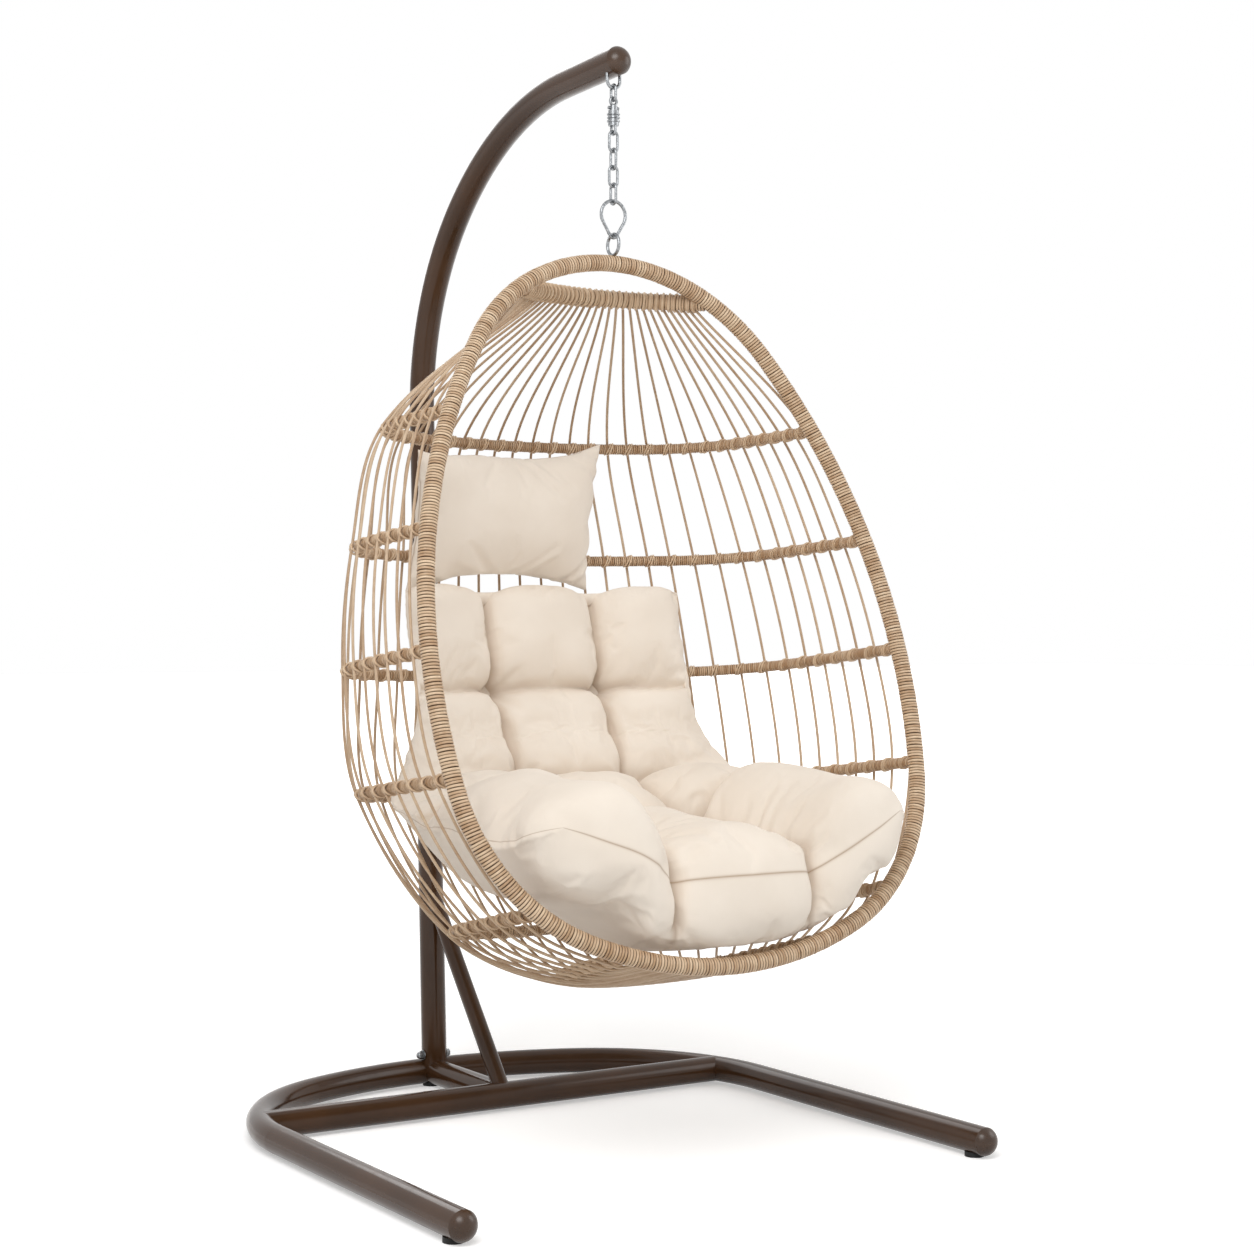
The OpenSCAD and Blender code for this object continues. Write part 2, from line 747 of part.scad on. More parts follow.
function crown_point(k) = let(a = crown_angle * (1 - share(k, 0.12)))
    mirrored(in_hoop([crown_r * sin(a), crown_depth - crown_r + crown_r * cos(a)],
                     crown_z, -crown_rise), side_of(k));

// The strand's foot on the lowest bend of the rim.
function foot_point(k) = let(x = strand_foot * (1 - share(k, 0)),
    h = rim_r1 - sqrt(rim_r1 * rim_r1 - x * x), z = rim_top_z - (rim_length - h) * cos(rim_tilt))
    mirrored([x, rim_y(z), z], side_of(k));

function centre_knots(k) = concat([crown_point(k)], [for (i = [0:5]) hoop_point(i, k)],
                                  [foot_point(k)]);
// A strand runs outside each hoop, square to both, and ends in the windings of the
// crown bar and the rim.
function outside(k, c, i) = let(out = hoop_point(i - 1, k, 1) - c[i],
    n = unit(cross(hoop_point(i - 1, k, 0, 1) - c[i], c[i + 1] - c[i - 1])))
    c[i] + strand_tie * sign(n * out) * n;
// The point strand_end from the bar at c, square to the bar and towards next.
function square_end(c, next, bar) = let(d = next - c, t = unit(bar))
    c + strand_end * unit(d - (d * t) * t);
function strand_knots(k) = let(c = centre_knots(k))
    [for (i = [0:7]) i == 0 ? square_end(c[0], c[1], crown_point(k + 0.01) - c[0])
        : i == 7 ? square_end(c[7], c[6], foot_point(k + 0.01) - c[7]) : outside(k, c, i)];

// A smooth curve through knots: cubic spans whose slopes follow the chord lengths.
function chord(p, i) = norm(p[i + 1] - p[i]);
function slope_at(p, i) = i == 0 ? (p[1] - p[0]) / chord(p, 0)
    : i == len(p) - 1 ? (p[i] - p[i - 1]) / chord(p, i - 1)
    : (p[i + 1] - p[i - 1]) / (chord(p, i) + chord(p, i - 1));
function on_span(p, i, t) = let(l = chord(p, i), u = 1 - t)
    p[i] * (1 + 2 * t) * u * u + p[i + 1] * (3 - 2 * t) * t * t
    + slope_at(p, i) * l * t * u * u - slope_at(p, i + 1) * l * t * t * u;
function smooth(p, steps) = concat(
    [for (i = [0:len(p) - 2]) for (j = [0:steps[i] - 1]) on_span(p, i, j / steps[i])],
    [p[len(p) - 1]]);

function heading(p, i) = unit(p[min(i + 1, len(p) - 1)] - p[max(i - 1, 0)]);
// Rings of a sweep whose section's first axis stays square to X.
function sweep_ring(p, i, r, n) = let(t = heading(p, i), a = unit(cross(t, [1, 0, 0])),
    b = cross(t, a)) [for (j = [0:n - 1]) p[i] + r * (cos(360 * j / n) * a
    + sin(360 * j / n) * b)];
function sweep_points(p, r, n) = [for (i = [0:len(p) - 1]) each sweep_ring(p, i, r, n)];
// Triangles between rings of n points, and the two flat ends.
function tube_faces(m, n) = concat(
    [for (i = [0:m - 2]) for (j = [0:n - 1]) let(a = i * n + j, b = i * n + (j + 1) % n)
        each [[a, b, b + n], [a, b + n, a + n]]],
    [for (j = [1:n - 2]) each [[0, j + 1, j],
        [(m - 1) * n, (m - 1) * n + j, (m - 1) * n + j + 1]]]);

module strand(k) {
    path = smooth(strand_knots(k), STRAND_STEPS);
    polyhedron(sweep_points(path, strand_r, strand_sides),
               tube_faces(len(path), strand_sides), convexity = 6);
}

module strand_group(g) {
    color(wicker) for (k = [g * group_size:min((g + 1) * group_size, strand_count) - 1])
        strand(k);
}

// ---------- Cushions ----------

// Middle line of the seat cushion from its top edge to its front: y behind the
// hanging line, z, and thickness there.
CUSHION_LINE = [[247, 988, 60], [240, 915, 85], [216, 812, 92], [198, 702, 124],
                [112, 592, 168], [-20, 514, 212], [-150, 490, 228], [-280, 494, 226],
                [-378, 519, 196]];

// 0 before first, 1 after last, and smooth between them.
function ramp(t, first, last) = pow(sin(90 * min(1, max(0, (t - first) / (last - first)))), 2);
function cushion_knot(s) = let(n = len(CUSHION_LINE) - 1, i = min(floor(s * n), n - 1))
    on_span(CUSHION_LINE, i, s * n - i);
// The back panel widens to the seat, which draws in a little where it passes the rim.
function cushion_half(s) = (cushion_top_w + (cushion_seat_w - cushion_top_w)
    * ramp(s, 0.3, 0.62)) / 2 * (1 - front_draw * ramp(s, 0.76, 0.88));
// 0 in the back panel, 1 in the seat.
function seat_part(s) = ramp(s, 0.35, 0.65);
// The back panel lies a little to the left.
function cushion_shift(s) = -top_shift * (1 - ramp(s, 0, 0.5));
// The two lengthwise seams; the right one runs outward over the seat.
function seam_x(s, side) = side * seam_half + (side > 0 ? seam_drift * ramp(s, 0.45, 1) : 0);
// The seat's side lobes rise outside the seams.
function lobe(s, x) = lobe_lift * seat_part(s)
    * ramp(abs(x) - abs(seam_x(s, sign(x))), -25, 125);
function bump(d, w) = exp(-d * d / (w * w));
// Creases across, deepest where they cross the seams.
CREASES_ACROSS = [0.25, 0.45, 0.62];
function across(s) = max([for (c = CREASES_ACROSS) bump(s - c, crease_share)]);
function along(s, x) = max([for (side = [-1, 1]) bump(x - seam_x(s, side), crease_w)]);
function crease(s, x) = crease_depth * (0.62 * across(s) + 0.62 * along(s, x)
    + 0.7 * across(s) * along(s, x));
function rounded(c, e) = sign(c) * pow(abs(c), e);
// Thickness falls off towards the sides and at the front's last rings.
function cushion_thick(s, u) = (1 - side_thin * u * u)
    * (1 - front_thin * pow(max(0, s - 0.85) / 0.15, 2));

// The upper side, where the creases are, has v below 0.
function cushion_point(s, a) = let(m = cushion_knot(s), t = cushion_knot(min(1, s + 0.01)),
    f = cushion_knot(max(0, s - 0.01)), d = unit([0, t[0] - f[0], t[1] - f[1]]),
    under = cross([1, 0, 0], d), u = rounded(cos(a), 0.7), v = rounded(sin(a), 0.7),
    x = cushion_half(s) * u, thick = m[2] / 2 * cushion_thick(s, u),
    dip = v < 0 ? crease(s, x) : 0)
    [x + cushion_shift(s), hang_y + m[0] - side_wrap * u * u * (1 - seat_part(s)),
     m[1] + lobe(s, x)] + under * (thick - dip) * v;

module seat_cushion() {
    rings = cushion_rings;
    n = cushion_sides;
    points = [for (i = [0:rings - 1]) for (j = [0:n - 1])
        cushion_point(i / (rings - 1), 360 * j / n)];
    color(cream) polyhedron(points, tube_faces(rings, n), convexity = 8);
}

// The pillow's face: side +1 is its front. Corners stay out where edges draw in.
function pillow_point(side, u, v) = let(
    x = u * (1 - 0.1 * (1 - v * v)), z = v * (1 - 0.13 * (1 - u * u)),
    puff = pow(max(0, (1 - u * u) * (1 - v * v)), 0.42))
    [pillow_w / 2 * x, -side * pillow_t / 2 * puff, pillow_h / 2 * z];
function pillow_u(i) = sin(90 * (2 * i / pillow_cells - 1));

module pillow_shape() {
    n = pillow_cells;
    edge = 4 * n;
    // Front grid, then the back grid without its edge, which both share.
    front = [for (i = [0:n]) for (j = [0:n]) pillow_point(1, pillow_u(i), pillow_u(j))];
    back = [for (i = [1:n - 1]) for (j = [1:n - 1])
        pillow_point(-1, pillow_u(i), pillow_u(j))];
    faces = concat(
        [for (i = [0:n - 1]) for (j = [0:n - 1]) each split_cell(i, j, front_at(i, j),
            front_at(i, j + 1), front_at(i + 1, j + 1), front_at(i + 1, j))],
        [for (i = [0:n - 1]) for (j = [0:n - 1]) each split_cell(j, i, back_at(i, j),
            back_at(i + 1, j), back_at(i + 1, j + 1), back_at(i, j + 1))]);
    polyhedron(concat(front, back), faces, convexity = 4);
}

// A cell's two triangles, parted along the line that runs towards the nearest corner.
function split_cell(i, j, a, b, c, d) = let(half = pillow_cells / 2)
    (i < half) == (j < half) ? [[a, b, c], [a, c, d]] : [[a, b, d], [b, c, d]];
function front_at(i, j) = i * (pillow_cells + 1) + j;
function back_at(i, j) = i == 0 || j == 0 || i == pillow_cells || j == pillow_cells
    ? front_at(i, j) : (pillow_cells + 1) * (pillow_cells + 1)
        + (i - 1) * (pillow_cells - 1) + j - 1;

// The pillow leans on the second hoop, whose ends curve forward behind it.
pillow_hoop_y = in_hoop([0, HOOPS[1][1]], HOOPS[1][0], HOOPS[1][3])[1];
pillow_y = pillow_hoop_y - hoop_r - pillow_t / 2 - 12;
// How far back the pillow reaches at [x, z].
function pillow_back(x, z) = let(up = (z - pillow_z) / cos(pillow_lean),
    puff = pillow_point(-1, 2 * (x - pillow_x) / pillow_w, 2 * up / pillow_h)[1])
    pillow_y + (x - pillow_x) * tan(pillow_yaw) + up * sin(pillow_lean) + puff;

module head_pillow() {
    color(cream) translate([pillow_x, pillow_y, pillow_z])
        rotate([0, 0, pillow_yaw]) rotate([pillow_lean, 0, 0]) pillow_shape();
}

loop_w = 25;
loop_r = hoop_r + 1;
fabric = 1.5;

// A flat loop's outline: a band round the origin that reaches back to -X by length.
module loop_outline(r, length) {
    circle(r);
    translate([-length, 0]) circle(r);
    translate([-length, -r]) square([length, 2 * r]);
}

// Two fabric loops that tie the pillow's back to the second hoop, between strands.
module pillow_loops() {
    middle = (strand_count - 1) / 2;
    for (k = [middle - 1, middle + 3]) {
        right = hoop_point(1, k);
        left = hoop_point(1, k + 1);
        at = (right + left) / 2;
        reach = at[1] - pillow_back(at[0], at[2]) - loop_r;
        color(cream) translate(at)
            rotate([0, 0, atan2(right[1] - left[1], right[0] - left[0])])
                translate([-loop_w / 2, 0, 0]) rotate([90, 0, 90]) linear_extrude(loop_w)
                    difference() {
                        loop_outline(loop_r + fabric, reach);
                        loop_outline(loop_r, reach);
                    }
    }
}

base_tube();
cross_tube();
spine_tube();
column_spigot();
column();
arm_spigot();
arm();
brace();
column_bolt();
column_cap_nut();
arm_screws();
leg_caps();
arm_cap();
foot_pads();
hang_eye();
top_link();
swivel_head();
swivel_barrel();
chain_link(0);  // chain_link_1
chain_link(1);  // chain_link_2
chain_link(2);  // chain_link_3
chain_link(3);  // chain_link_4
carabiner();
carabiner_gate();
gate_pin();
basket_eye();
rim_tube();
rim_winding();
crown_rod();
crown_winding();
hoop_rods();
hoop(0);  // hoop_1
hoop(1);  // hoop_2
hoop(2);  // hoop_3
hoop(3);  // hoop_4
hoop(4);  // hoop_5
hoop(5);  // hoop_6
strand_group(0);  // strands_1
strand_group(1);  // strands_2
strand_group(2);  // strands_3
strand_group(3);  // strands_4
strand_group(4);  // strands_5
strand_group(5);  // strands_6
strand_group(6);  // strands_7
seat_cushion();
head_pillow();
pillow_loops();
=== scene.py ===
"""Looks of the hanging egg chair: finishes, wicker windings, strands, cushions and studio.

Pieces are made in metres in the CAD frame: +Z up, the sitter faces -Y. Sizes held by the
classes of the basket and the cushions are in millimetres, as in the CAD source.
"""

from __future__ import annotations

import json
import logging
from dataclasses import dataclass, field
from enum import Enum
from math import acos, asin, cos, pi, radians, sin, sqrt, tan
from typing import Callable, Sequence

import bmesh
import bpy
import numpy as np
from mathutils import Matrix, Vector

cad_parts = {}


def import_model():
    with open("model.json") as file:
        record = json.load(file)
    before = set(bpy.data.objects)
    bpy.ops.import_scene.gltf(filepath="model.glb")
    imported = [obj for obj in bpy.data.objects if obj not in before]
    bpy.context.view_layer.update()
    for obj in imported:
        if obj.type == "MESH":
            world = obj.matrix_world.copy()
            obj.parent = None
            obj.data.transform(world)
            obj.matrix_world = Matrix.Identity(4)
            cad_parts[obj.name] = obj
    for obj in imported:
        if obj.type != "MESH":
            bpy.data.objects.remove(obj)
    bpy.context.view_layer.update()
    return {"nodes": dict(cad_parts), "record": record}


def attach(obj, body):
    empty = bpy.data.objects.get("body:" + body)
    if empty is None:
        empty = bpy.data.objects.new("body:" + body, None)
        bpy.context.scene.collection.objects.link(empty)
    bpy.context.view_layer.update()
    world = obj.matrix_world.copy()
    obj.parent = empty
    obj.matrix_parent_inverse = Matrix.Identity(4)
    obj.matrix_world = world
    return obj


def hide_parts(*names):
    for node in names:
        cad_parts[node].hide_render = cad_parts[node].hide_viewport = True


LOG = logging.getLogger("egg_chair")
MM = 0.001
TINY = 1e-9
Array = np.ndarray
Material = bpy.types.Material
Socket = bpy.types.NodeSocket
Thing = bpy.types.Object
Triple = tuple[float, float, float]
Number = float | Socket


# ---------- Finishes ----------


class Look(Enum):
    """The kinds of surface that a finish can have."""

    PAINT = "paint"
    METAL = "metal"
    RUBBER = "rubber"
    WICKER = "wicker"
    FABRIC = "fabric"


@dataclass(frozen=True)
class Finish:
    """One surface finish, with its colours as sRGB values from 0 to 1."""

    name: str
    look: Look
    colour: Triple
    shade: Triple
    roughness: float
    metallic: float
    bump: float
    grain: float


BRONZE = Finish("bronze_paint", Look.PAINT, (0.290, 0.190, 0.112), (0.232, 0.150, 0.086), 0.17,
                0.0, 0.012, 900.0)
ZINC = Finish("zinc_steel", Look.METAL, (0.66, 0.67, 0.68), (0.46, 0.47, 0.48), 0.30, 1.0, 0.05,
              260.0)
BLACK = Finish("black_rubber", Look.RUBBER, (0.085, 0.082, 0.080), (0.055, 0.053, 0.052), 0.62,
               0.0, 0.15, 700.0)
CAP = Finish("cap_plastic", Look.RUBBER, (0.272, 0.180, 0.108), (0.220, 0.145, 0.086), 0.28, 0.0,
             0.04, 900.0)
STEEL = Finish("core_steel", Look.METAL, (0.40, 0.36, 0.32), (0.30, 0.27, 0.24), 0.5, 0.8, 0.05,
               300.0)
WICKER = Finish("wicker", Look.WICKER, (0.925, 0.825, 0.700), (0.690, 0.545, 0.400), 0.42, 0.0,
                0.3, 1400.0)
CREAM = Finish("cream_fabric", Look.FABRIC, (0.935, 0.895, 0.845), (0.88, 0.83, 0.77), 0.88, 0.0,
               0.12, 1600.0)
# Painted shade: the dark brown mixed into the gaps between wicker turns.
PAINTED_GAP_SHADE = (0.33, 0.21, 0.115)
# Painted shade: the tan mixed into the fabric's creases and seam lines.
PAINTED_SHADE_TAN = (0.62, 0.50, 0.38)


def linear(colour: Sequence[float]) -> tuple[float, float, float, float]:
    """Turns an sRGB colour into the linear values that shaders take.

    Args:
        colour: Red, green and blue from 0 to 1.

    Returns:
        The linear colour with an alpha of 1.
    """
    values = [c / 12.92 if c <= 0.04045 else ((c + 0.055) / 1.055) ** 2.4 for c in colour]
    return (*values, 1.0)


class Nodes:
    """Short calls that add nodes to a tree."""

    def __init__(self, tree: bpy.types.NodeTree) -> None:
        """Takes the tree that the nodes go into."""
        self.tree = tree

    def add(self, kind: str, props: dict | None = None, **inputs: object) -> bpy.types.Node:
        """Adds a node.

        Args:
            kind: The node's Blender type.
            props: Its own settings.
            **inputs: Values or links by socket, with _ for a space; i_0 is the first socket.

        Returns:
            The node.
        """
        made = self.tree.nodes.new(kind)
        for key, value in (props or {}).items():
            setattr(made, key, value)
        enabled = {s.name: s for s in reversed([s for s in made.inputs if s.enabled])}
        for key, value in inputs.items():
            socket = (made.inputs[int(key[2:])] if key.startswith("i_")
                      else enabled[key.replace("_", " ")])
            if isinstance(value, Socket):
                self.tree.links.new(value, socket)
            else:
                socket.default_value = value
        return made

    def maths(self, operation: str, first: Number, second: Number = 0.0) -> Socket:
        """Returns the result of a maths node."""
        made = self.add("ShaderNodeMath", {"operation": operation}, i_0=first, i_1=second)
        return made.outputs[0]


class Shader(Nodes):
    """A material under construction."""

    def __init__(self, name: str) -> None:
        """Starts an empty material of that name.

        Args:
            name: The material's name.
        """
        self.material = bpy.data.materials.new(name)
        self.material.use_nodes = True
        super().__init__(self.material.node_tree)
        self.tree.nodes.clear()

    def place(self) -> Socket:
        """Returns the object's own coordinates."""
        return self.add("ShaderNodeTexCoord").outputs["Object"]

    def noise(self, scale: float, detail: float = 4.0) -> Socket:
        """Returns a noise value at a scale in cycles per metre."""
        return self.add("ShaderNodeTexNoise", Vector=self.place(), Scale=scale,
                        Detail=detail).outputs["Fac"]

    def spread(self, value: Socket, low: float, high: float, first: float = 0.3,
               last: float = 0.7) -> Socket:
        """Maps a value of first to last onto low to high, and holds it between them."""
        return self.add("ShaderNodeMapRange", Value=value, From_Min=first, From_Max=last,
                        To_Min=low, To_Max=high).outputs["Result"]

    def mix(self, factor: Number, first: object, second: object) -> Socket:
        """Mixes two colours."""
        return self.add("ShaderNodeMix", {"data_type": "RGBA"}, i_0=factor, i_6=first,
                        i_7=second).outputs[2]

    def clouds(self, finish: Finish, scale: float, share: float = 1.0,
               detail: float = 4.0) -> Socket:
        """Returns a finish's colour, clouded with up to that share of its shade."""
        return self.mix(self.spread(self.noise(scale, detail), 0.0, share),
                        linear(finish.colour), linear(finish.shade))

    def attribute(self, name: str) -> Socket:
        """Returns a number stored on the mesh."""
        return self.add("ShaderNodeAttribute", {"attribute_name": name}).outputs["Fac"]

    def bump(self, height: Socket, strength: float, distance: float) -> Socket:
        """Returns a normal from a height."""
        return self.add("ShaderNodeBump", Height=height, Strength=strength,
                        Distance=distance).outputs["Normal"]

    def principled(self, finish: Finish, **inputs: object) -> Material:
        """Ends the material with a principled surface and returns it."""
        made = self.add("ShaderNodeBsdfPrincipled", Metallic=finish.metallic, **inputs)
        return self.finish(made.outputs["BSDF"])

    def finish(self, surface: Socket) -> Material:
        """Links the surface to the output and returns the material."""
        self.add("ShaderNodeOutputMaterial", Surface=surface)
        return self.material


class Palette:
    """Makes each finish's material once."""

    def __init__(self) -> None:
        """Starts with no material made."""
        self._made: dict[str, Material] = {}
        self._makers: dict[Look, Callable[[Finish], Material]] = {
            Look.PAINT: self._paint, Look.METAL: self._metal, Look.RUBBER: self._rubber,
            Look.WICKER: self._wicker, Look.FABRIC: self._fabric}

    def get(self, finish: Finish) -> Material:
        """Returns the material of a finish.

        Args:
            finish: One of the chair's finishes.

        Returns:
            Its material, which is made the first time.
        """
        if finish.name not in self._made:
            self._made[finish.name] = self._makers[finish.look](finish)
        return self._made[finish.name]

    @staticmethod
    def _grained(s: Shader, finish: Finish, colour: Socket, gloss: Triple,
                 relief: Triple, **more: float) -> Material:
        """Ends a material with a changing roughness and a fine relief.

        Args:
            s: The shader, with the colour made.
            finish: The finish.
            colour: The surface's colour.
            gloss: The roughness's scale in cycles per metre, its fall and its rise.
            relief: The relief's scale in cycles per metre, its detail and its height in metres.
            **more: Other inputs of the surface.

        Returns:
            The material.
        """
        rough = s.spread(s.noise(gloss[0]), finish.roughness - gloss[1],
                         finish.roughness + gloss[2])
        normal = s.bump(s.noise(relief[0], relief[1]), finish.bump, relief[2])
        return s.principled(finish, Base_Color=colour, Roughness=rough, Normal=normal, **more)

    def _paint(self, finish: Finish) -> Material:
        """Glossy powder coat with a faint orange peel.

        Args:
            finish: The paint's finish.

        Returns:
            Its material.
        """
        s = Shader(finish.name)
        return self._grained(s, finish, s.clouds(finish, 6.0), (40.0, 0.05, 0.06),
                             (finish.grain, 2.0, 0.0006), Specular_IOR_Level=0.28)

    def _metal(self, finish: Finish) -> Material:
        """Zinc plate: patchy brightness and fine rubbed marks.

        Args:
            finish: The metal's finish.

        Returns:
            Its material.
        """
        s = Shader(finish.name)
        return self._grained(s, finish, s.clouds(finish, finish.grain),
                             (finish.grain * 2.5, 0.08, 0.14), (finish.grain * 6, 3.0, 0.0004))

    def _rubber(self, finish: Finish) -> Material:
        """Moulded rubber or plastic with a fine grain.

        Args:
            finish: The rubber's or plastic's finish.

        Returns:
            Its material.
        """
        s = Shader(finish.name)
        return self._grained(s, finish, s.clouds(finish, 30.0), (120.0, 0.06, 0.1),
                             (finish.grain * 2, 2.0, 0.0003))

    def _wicker(self, finish: Finish) -> Material:
        """Resin wicker: each turn has its own random tone, and painted shade darkens it down in
        the gaps between turns.

        Args:
            finish: The wicker's finish.

        Returns:
            Its material.
        """
        s = Shader(finish.name)
        turn = s.maths("MULTIPLY", s.attribute("shade"), 0.6)
        cloud = s.maths("MULTIPLY", s.spread(s.noise(55.0), 0.0, 1.0), 0.35)
        colour = s.mix(s.maths("ADD", turn, cloud), linear(finish.colour), linear(finish.shade))
        # Painted shade: the crest mask mixes the gap brown in where neighbouring turns meet.
        gap = s.maths("MINIMUM", s.maths("MULTIPLY", s.attribute("crest"), 1.05), 1.0)
        return self._grained(s, finish, s.mix(gap, linear(PAINTED_GAP_SHADE), colour),
                             (220.0, 0.1, 0.12), (finish.grain, 3.0, 0.0004))

    @staticmethod
    def _fabric(finish: Finish) -> Material:
        """Plain woven polyester: a fine weave, painted shade in the creases, stitched seams dented
        and darkened with painted shade, and some sheen.

        Args:
            finish: The fabric's finish.

        Returns:
            Its material.
        """
        s = Shader(finish.name)
        across, along = (
            s.add("ShaderNodeTexWave", {"bands_direction": axis}, Vector=s.place(),
                  Scale=finish.grain / 20.0, Distortion=0.4).outputs["Fac"] for axis in "XZ")
        weave = s.maths("MULTIPLY", s.maths("MULTIPLY", across, along), 0.5)
        height = s.maths("ADD", weave, s.noise(finish.grain * 0.35, 3.0))
        # Painted shade: the crease mask mixes the tan in where the creases lie.
        colour = s.mix(s.maths("MULTIPLY", s.attribute("crease"), 0.7),
                       s.clouds(finish, 9.0, 0.5, 5.0), linear(PAINTED_SHADE_TAN))
        # Painted shade: seam lines are darkened with the same tan, besides their dent in the bump.
        seam = s.maths("POWER", s.attribute("seam"), 7.0)
        colour = s.mix(s.maths("MULTIPLY", seam, 0.8), colour, linear(PAINTED_SHADE_TAN))
        normal = s.bump(s.maths("SUBTRACT", height, seam), finish.bump, 0.0008)
        return s.principled(finish, Base_Color=colour, Roughness=finish.roughness,
                            Normal=normal, Sheen_Weight=0.12, Sheen_Roughness=0.6)


# ---------- Meshes ----------


def linked(name: str, data: bpy.types.ID) -> Thing:
    """Makes an object of that data at the origin, and links it.

    Args:
        name: The object's name.
        data: Its mesh, light or camera.

    Returns:
        The object.
    """
    made = bpy.data.objects.new(name, data)
    bpy.context.scene.collection.objects.link(made)
    return made


def mesh_object(name: str, points: Array, faces: Sequence[Sequence[int]],
                edges: Sequence[Sequence[int]] = ()) -> Thing:
    """Makes an object at the origin from points and faces, and links it.

    Args:
        name: The object's name.
        points: Its vertices in metres.
        faces: Vertex numbers of each face.
        edges: Loose edges, for a path.

    Returns:
        The object.
    """
    mesh = bpy.data.meshes.new(name)
    mesh.from_pydata([tuple(p) for p in np.asarray(points, float)], list(edges), list(faces))
    mesh.update()
    return linked(name, mesh)


def path_object(name: str, paths: Sequence[Array], closed: bool = False) -> Thing:
    """Makes paths of loose edges, for a geometry tree to follow.

    Args:
        name: The object's name.
        paths: The points of each path, in millimetres.
        closed: Whether each path's end joins its start.

    Returns:
        The object.
    """
    points, edges = [], []
    for path in paths:
        base, count = len(points), len(path)
        points.extend(path)
        edges.extend((base + i, base + i + 1) for i in range(count - 1))
        if closed:
            edges.append((base + count - 1, base))
    return mesh_object(name, np.array(points) * MM, [], edges)


def closed_mesh(name: str, points: Array, faces: Sequence[Sequence[int]],
                **values: Array) -> Thing:
    """Makes an object from the points that faces use, with values for each of them.

    Args:
        name: The object's name.
        points: Vertices in metres, of which some may be unused.
        faces: Vertex numbers of each face; doubled numbers in a face are dropped.
        **values: Attributes by name, with one number for each point.

    Returns:
        The object.
    """
    kept = [list(dict.fromkeys(face)) for face in faces]
    kept = [face for face in kept if len(face) > 2]
    used = sorted({n for face in kept for n in face})
    number = {old: new for new, old in enumerate(used)}
    piece = mesh_object(name, points[used], [[number[n] for n in face] for face in kept])
    outward(piece)
    for title, numbers in values.items():
        layer = piece.data.attributes.new(title, "FLOAT", "POINT")
        layer.data.foreach_set("value", numbers[used].astype(np.float32))
    return piece


def outward(piece: Thing, joined: float | None = None) -> None:
    """Turns every face of a closed mesh outwards.

    Args:
        piece: The mesh object.
        joined: The distance within which vertices are joined first, in metres.
    """
    mesh = bmesh.new()
    mesh.from_mesh(piece.data)
    if joined is not None:
        bmesh.ops.remove_doubles(mesh, verts=mesh.verts, dist=joined)
    bmesh.ops.recalc_face_normals(mesh, faces=mesh.faces)
    mesh.to_mesh(piece.data)
    mesh.free()


def smooth(piece: Thing) -> None:
    """Shades every face smooth."""
    piece.data.polygons.foreach_set("use_smooth", [True] * len(piece.data.polygons))


def dress(piece: Thing, body: str, slot: str, material: Material, *nodes: str) -> None:
    """Finishes a piece.

    Args:
        piece: The mesh object.
        body: The body that it rides.
        slot: Its material slot in the record; not used.
        material: Its material.
        *nodes: The CAD nodes that it stands for.
    """
    if material.name not in [m.name for m in piece.data.materials if m]:
        piece.data.materials.clear()
        piece.data.materials.append(material)
    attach(piece, body)
    if nodes:
        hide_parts(*nodes)
    LOG.info("%s: %d faces", piece.name, len(piece.data.polygons))


# ---------- The chair's lines ----------

NUDGE = 0.01  # A small step in a strand's number, which gives its bar's direction there.


def unit(vector: Array) -> Array:
    """The vector at length 1."""
    return vector / np.linalg.norm(vector)


def heading(angle: float) -> Array:
    """The flat unit vector at an angle in radians."""
    return np.array([cos(angle), sin(angle)])


def smooth_curve(p: Array, steps: int) -> Array:
    """Cubic spans through points, with slopes from the chords on both sides.

    Args:
        p: The points.
        steps: Steps on each span.

    Returns:
        The points of the curve.
    """
    chords = np.linalg.norm(np.diff(p, axis=0), axis=1)
    last = len(p) - 1
    slopes = [(p[1] - p[0]) / chords[0]]
    slopes += [(p[i + 1] - p[i - 1]) / (chords[i] + chords[i - 1]) for i in range(1, last)]
    slopes.append((p[last] - p[last - 1]) / chords[-1])
    made = []
    for i in range(last):
        for t in np.arange(steps) / steps:
            u, length = 1 - t, chords[i]
            made.append(p[i] * (1 + 2 * t) * u * u + p[i + 1] * (3 - 2 * t) * t * t
                        + slopes[i] * length * t * u * u - slopes[i + 1] * length * t * t * u)
    made.append(p[last])
    return np.array(made)


@dataclass(frozen=True)
class Hoop:
    """One hoop: its height on the rim, its depth behind it, corner bend and slope."""

    z: float
    depth: float
    corner: float
    slope: float


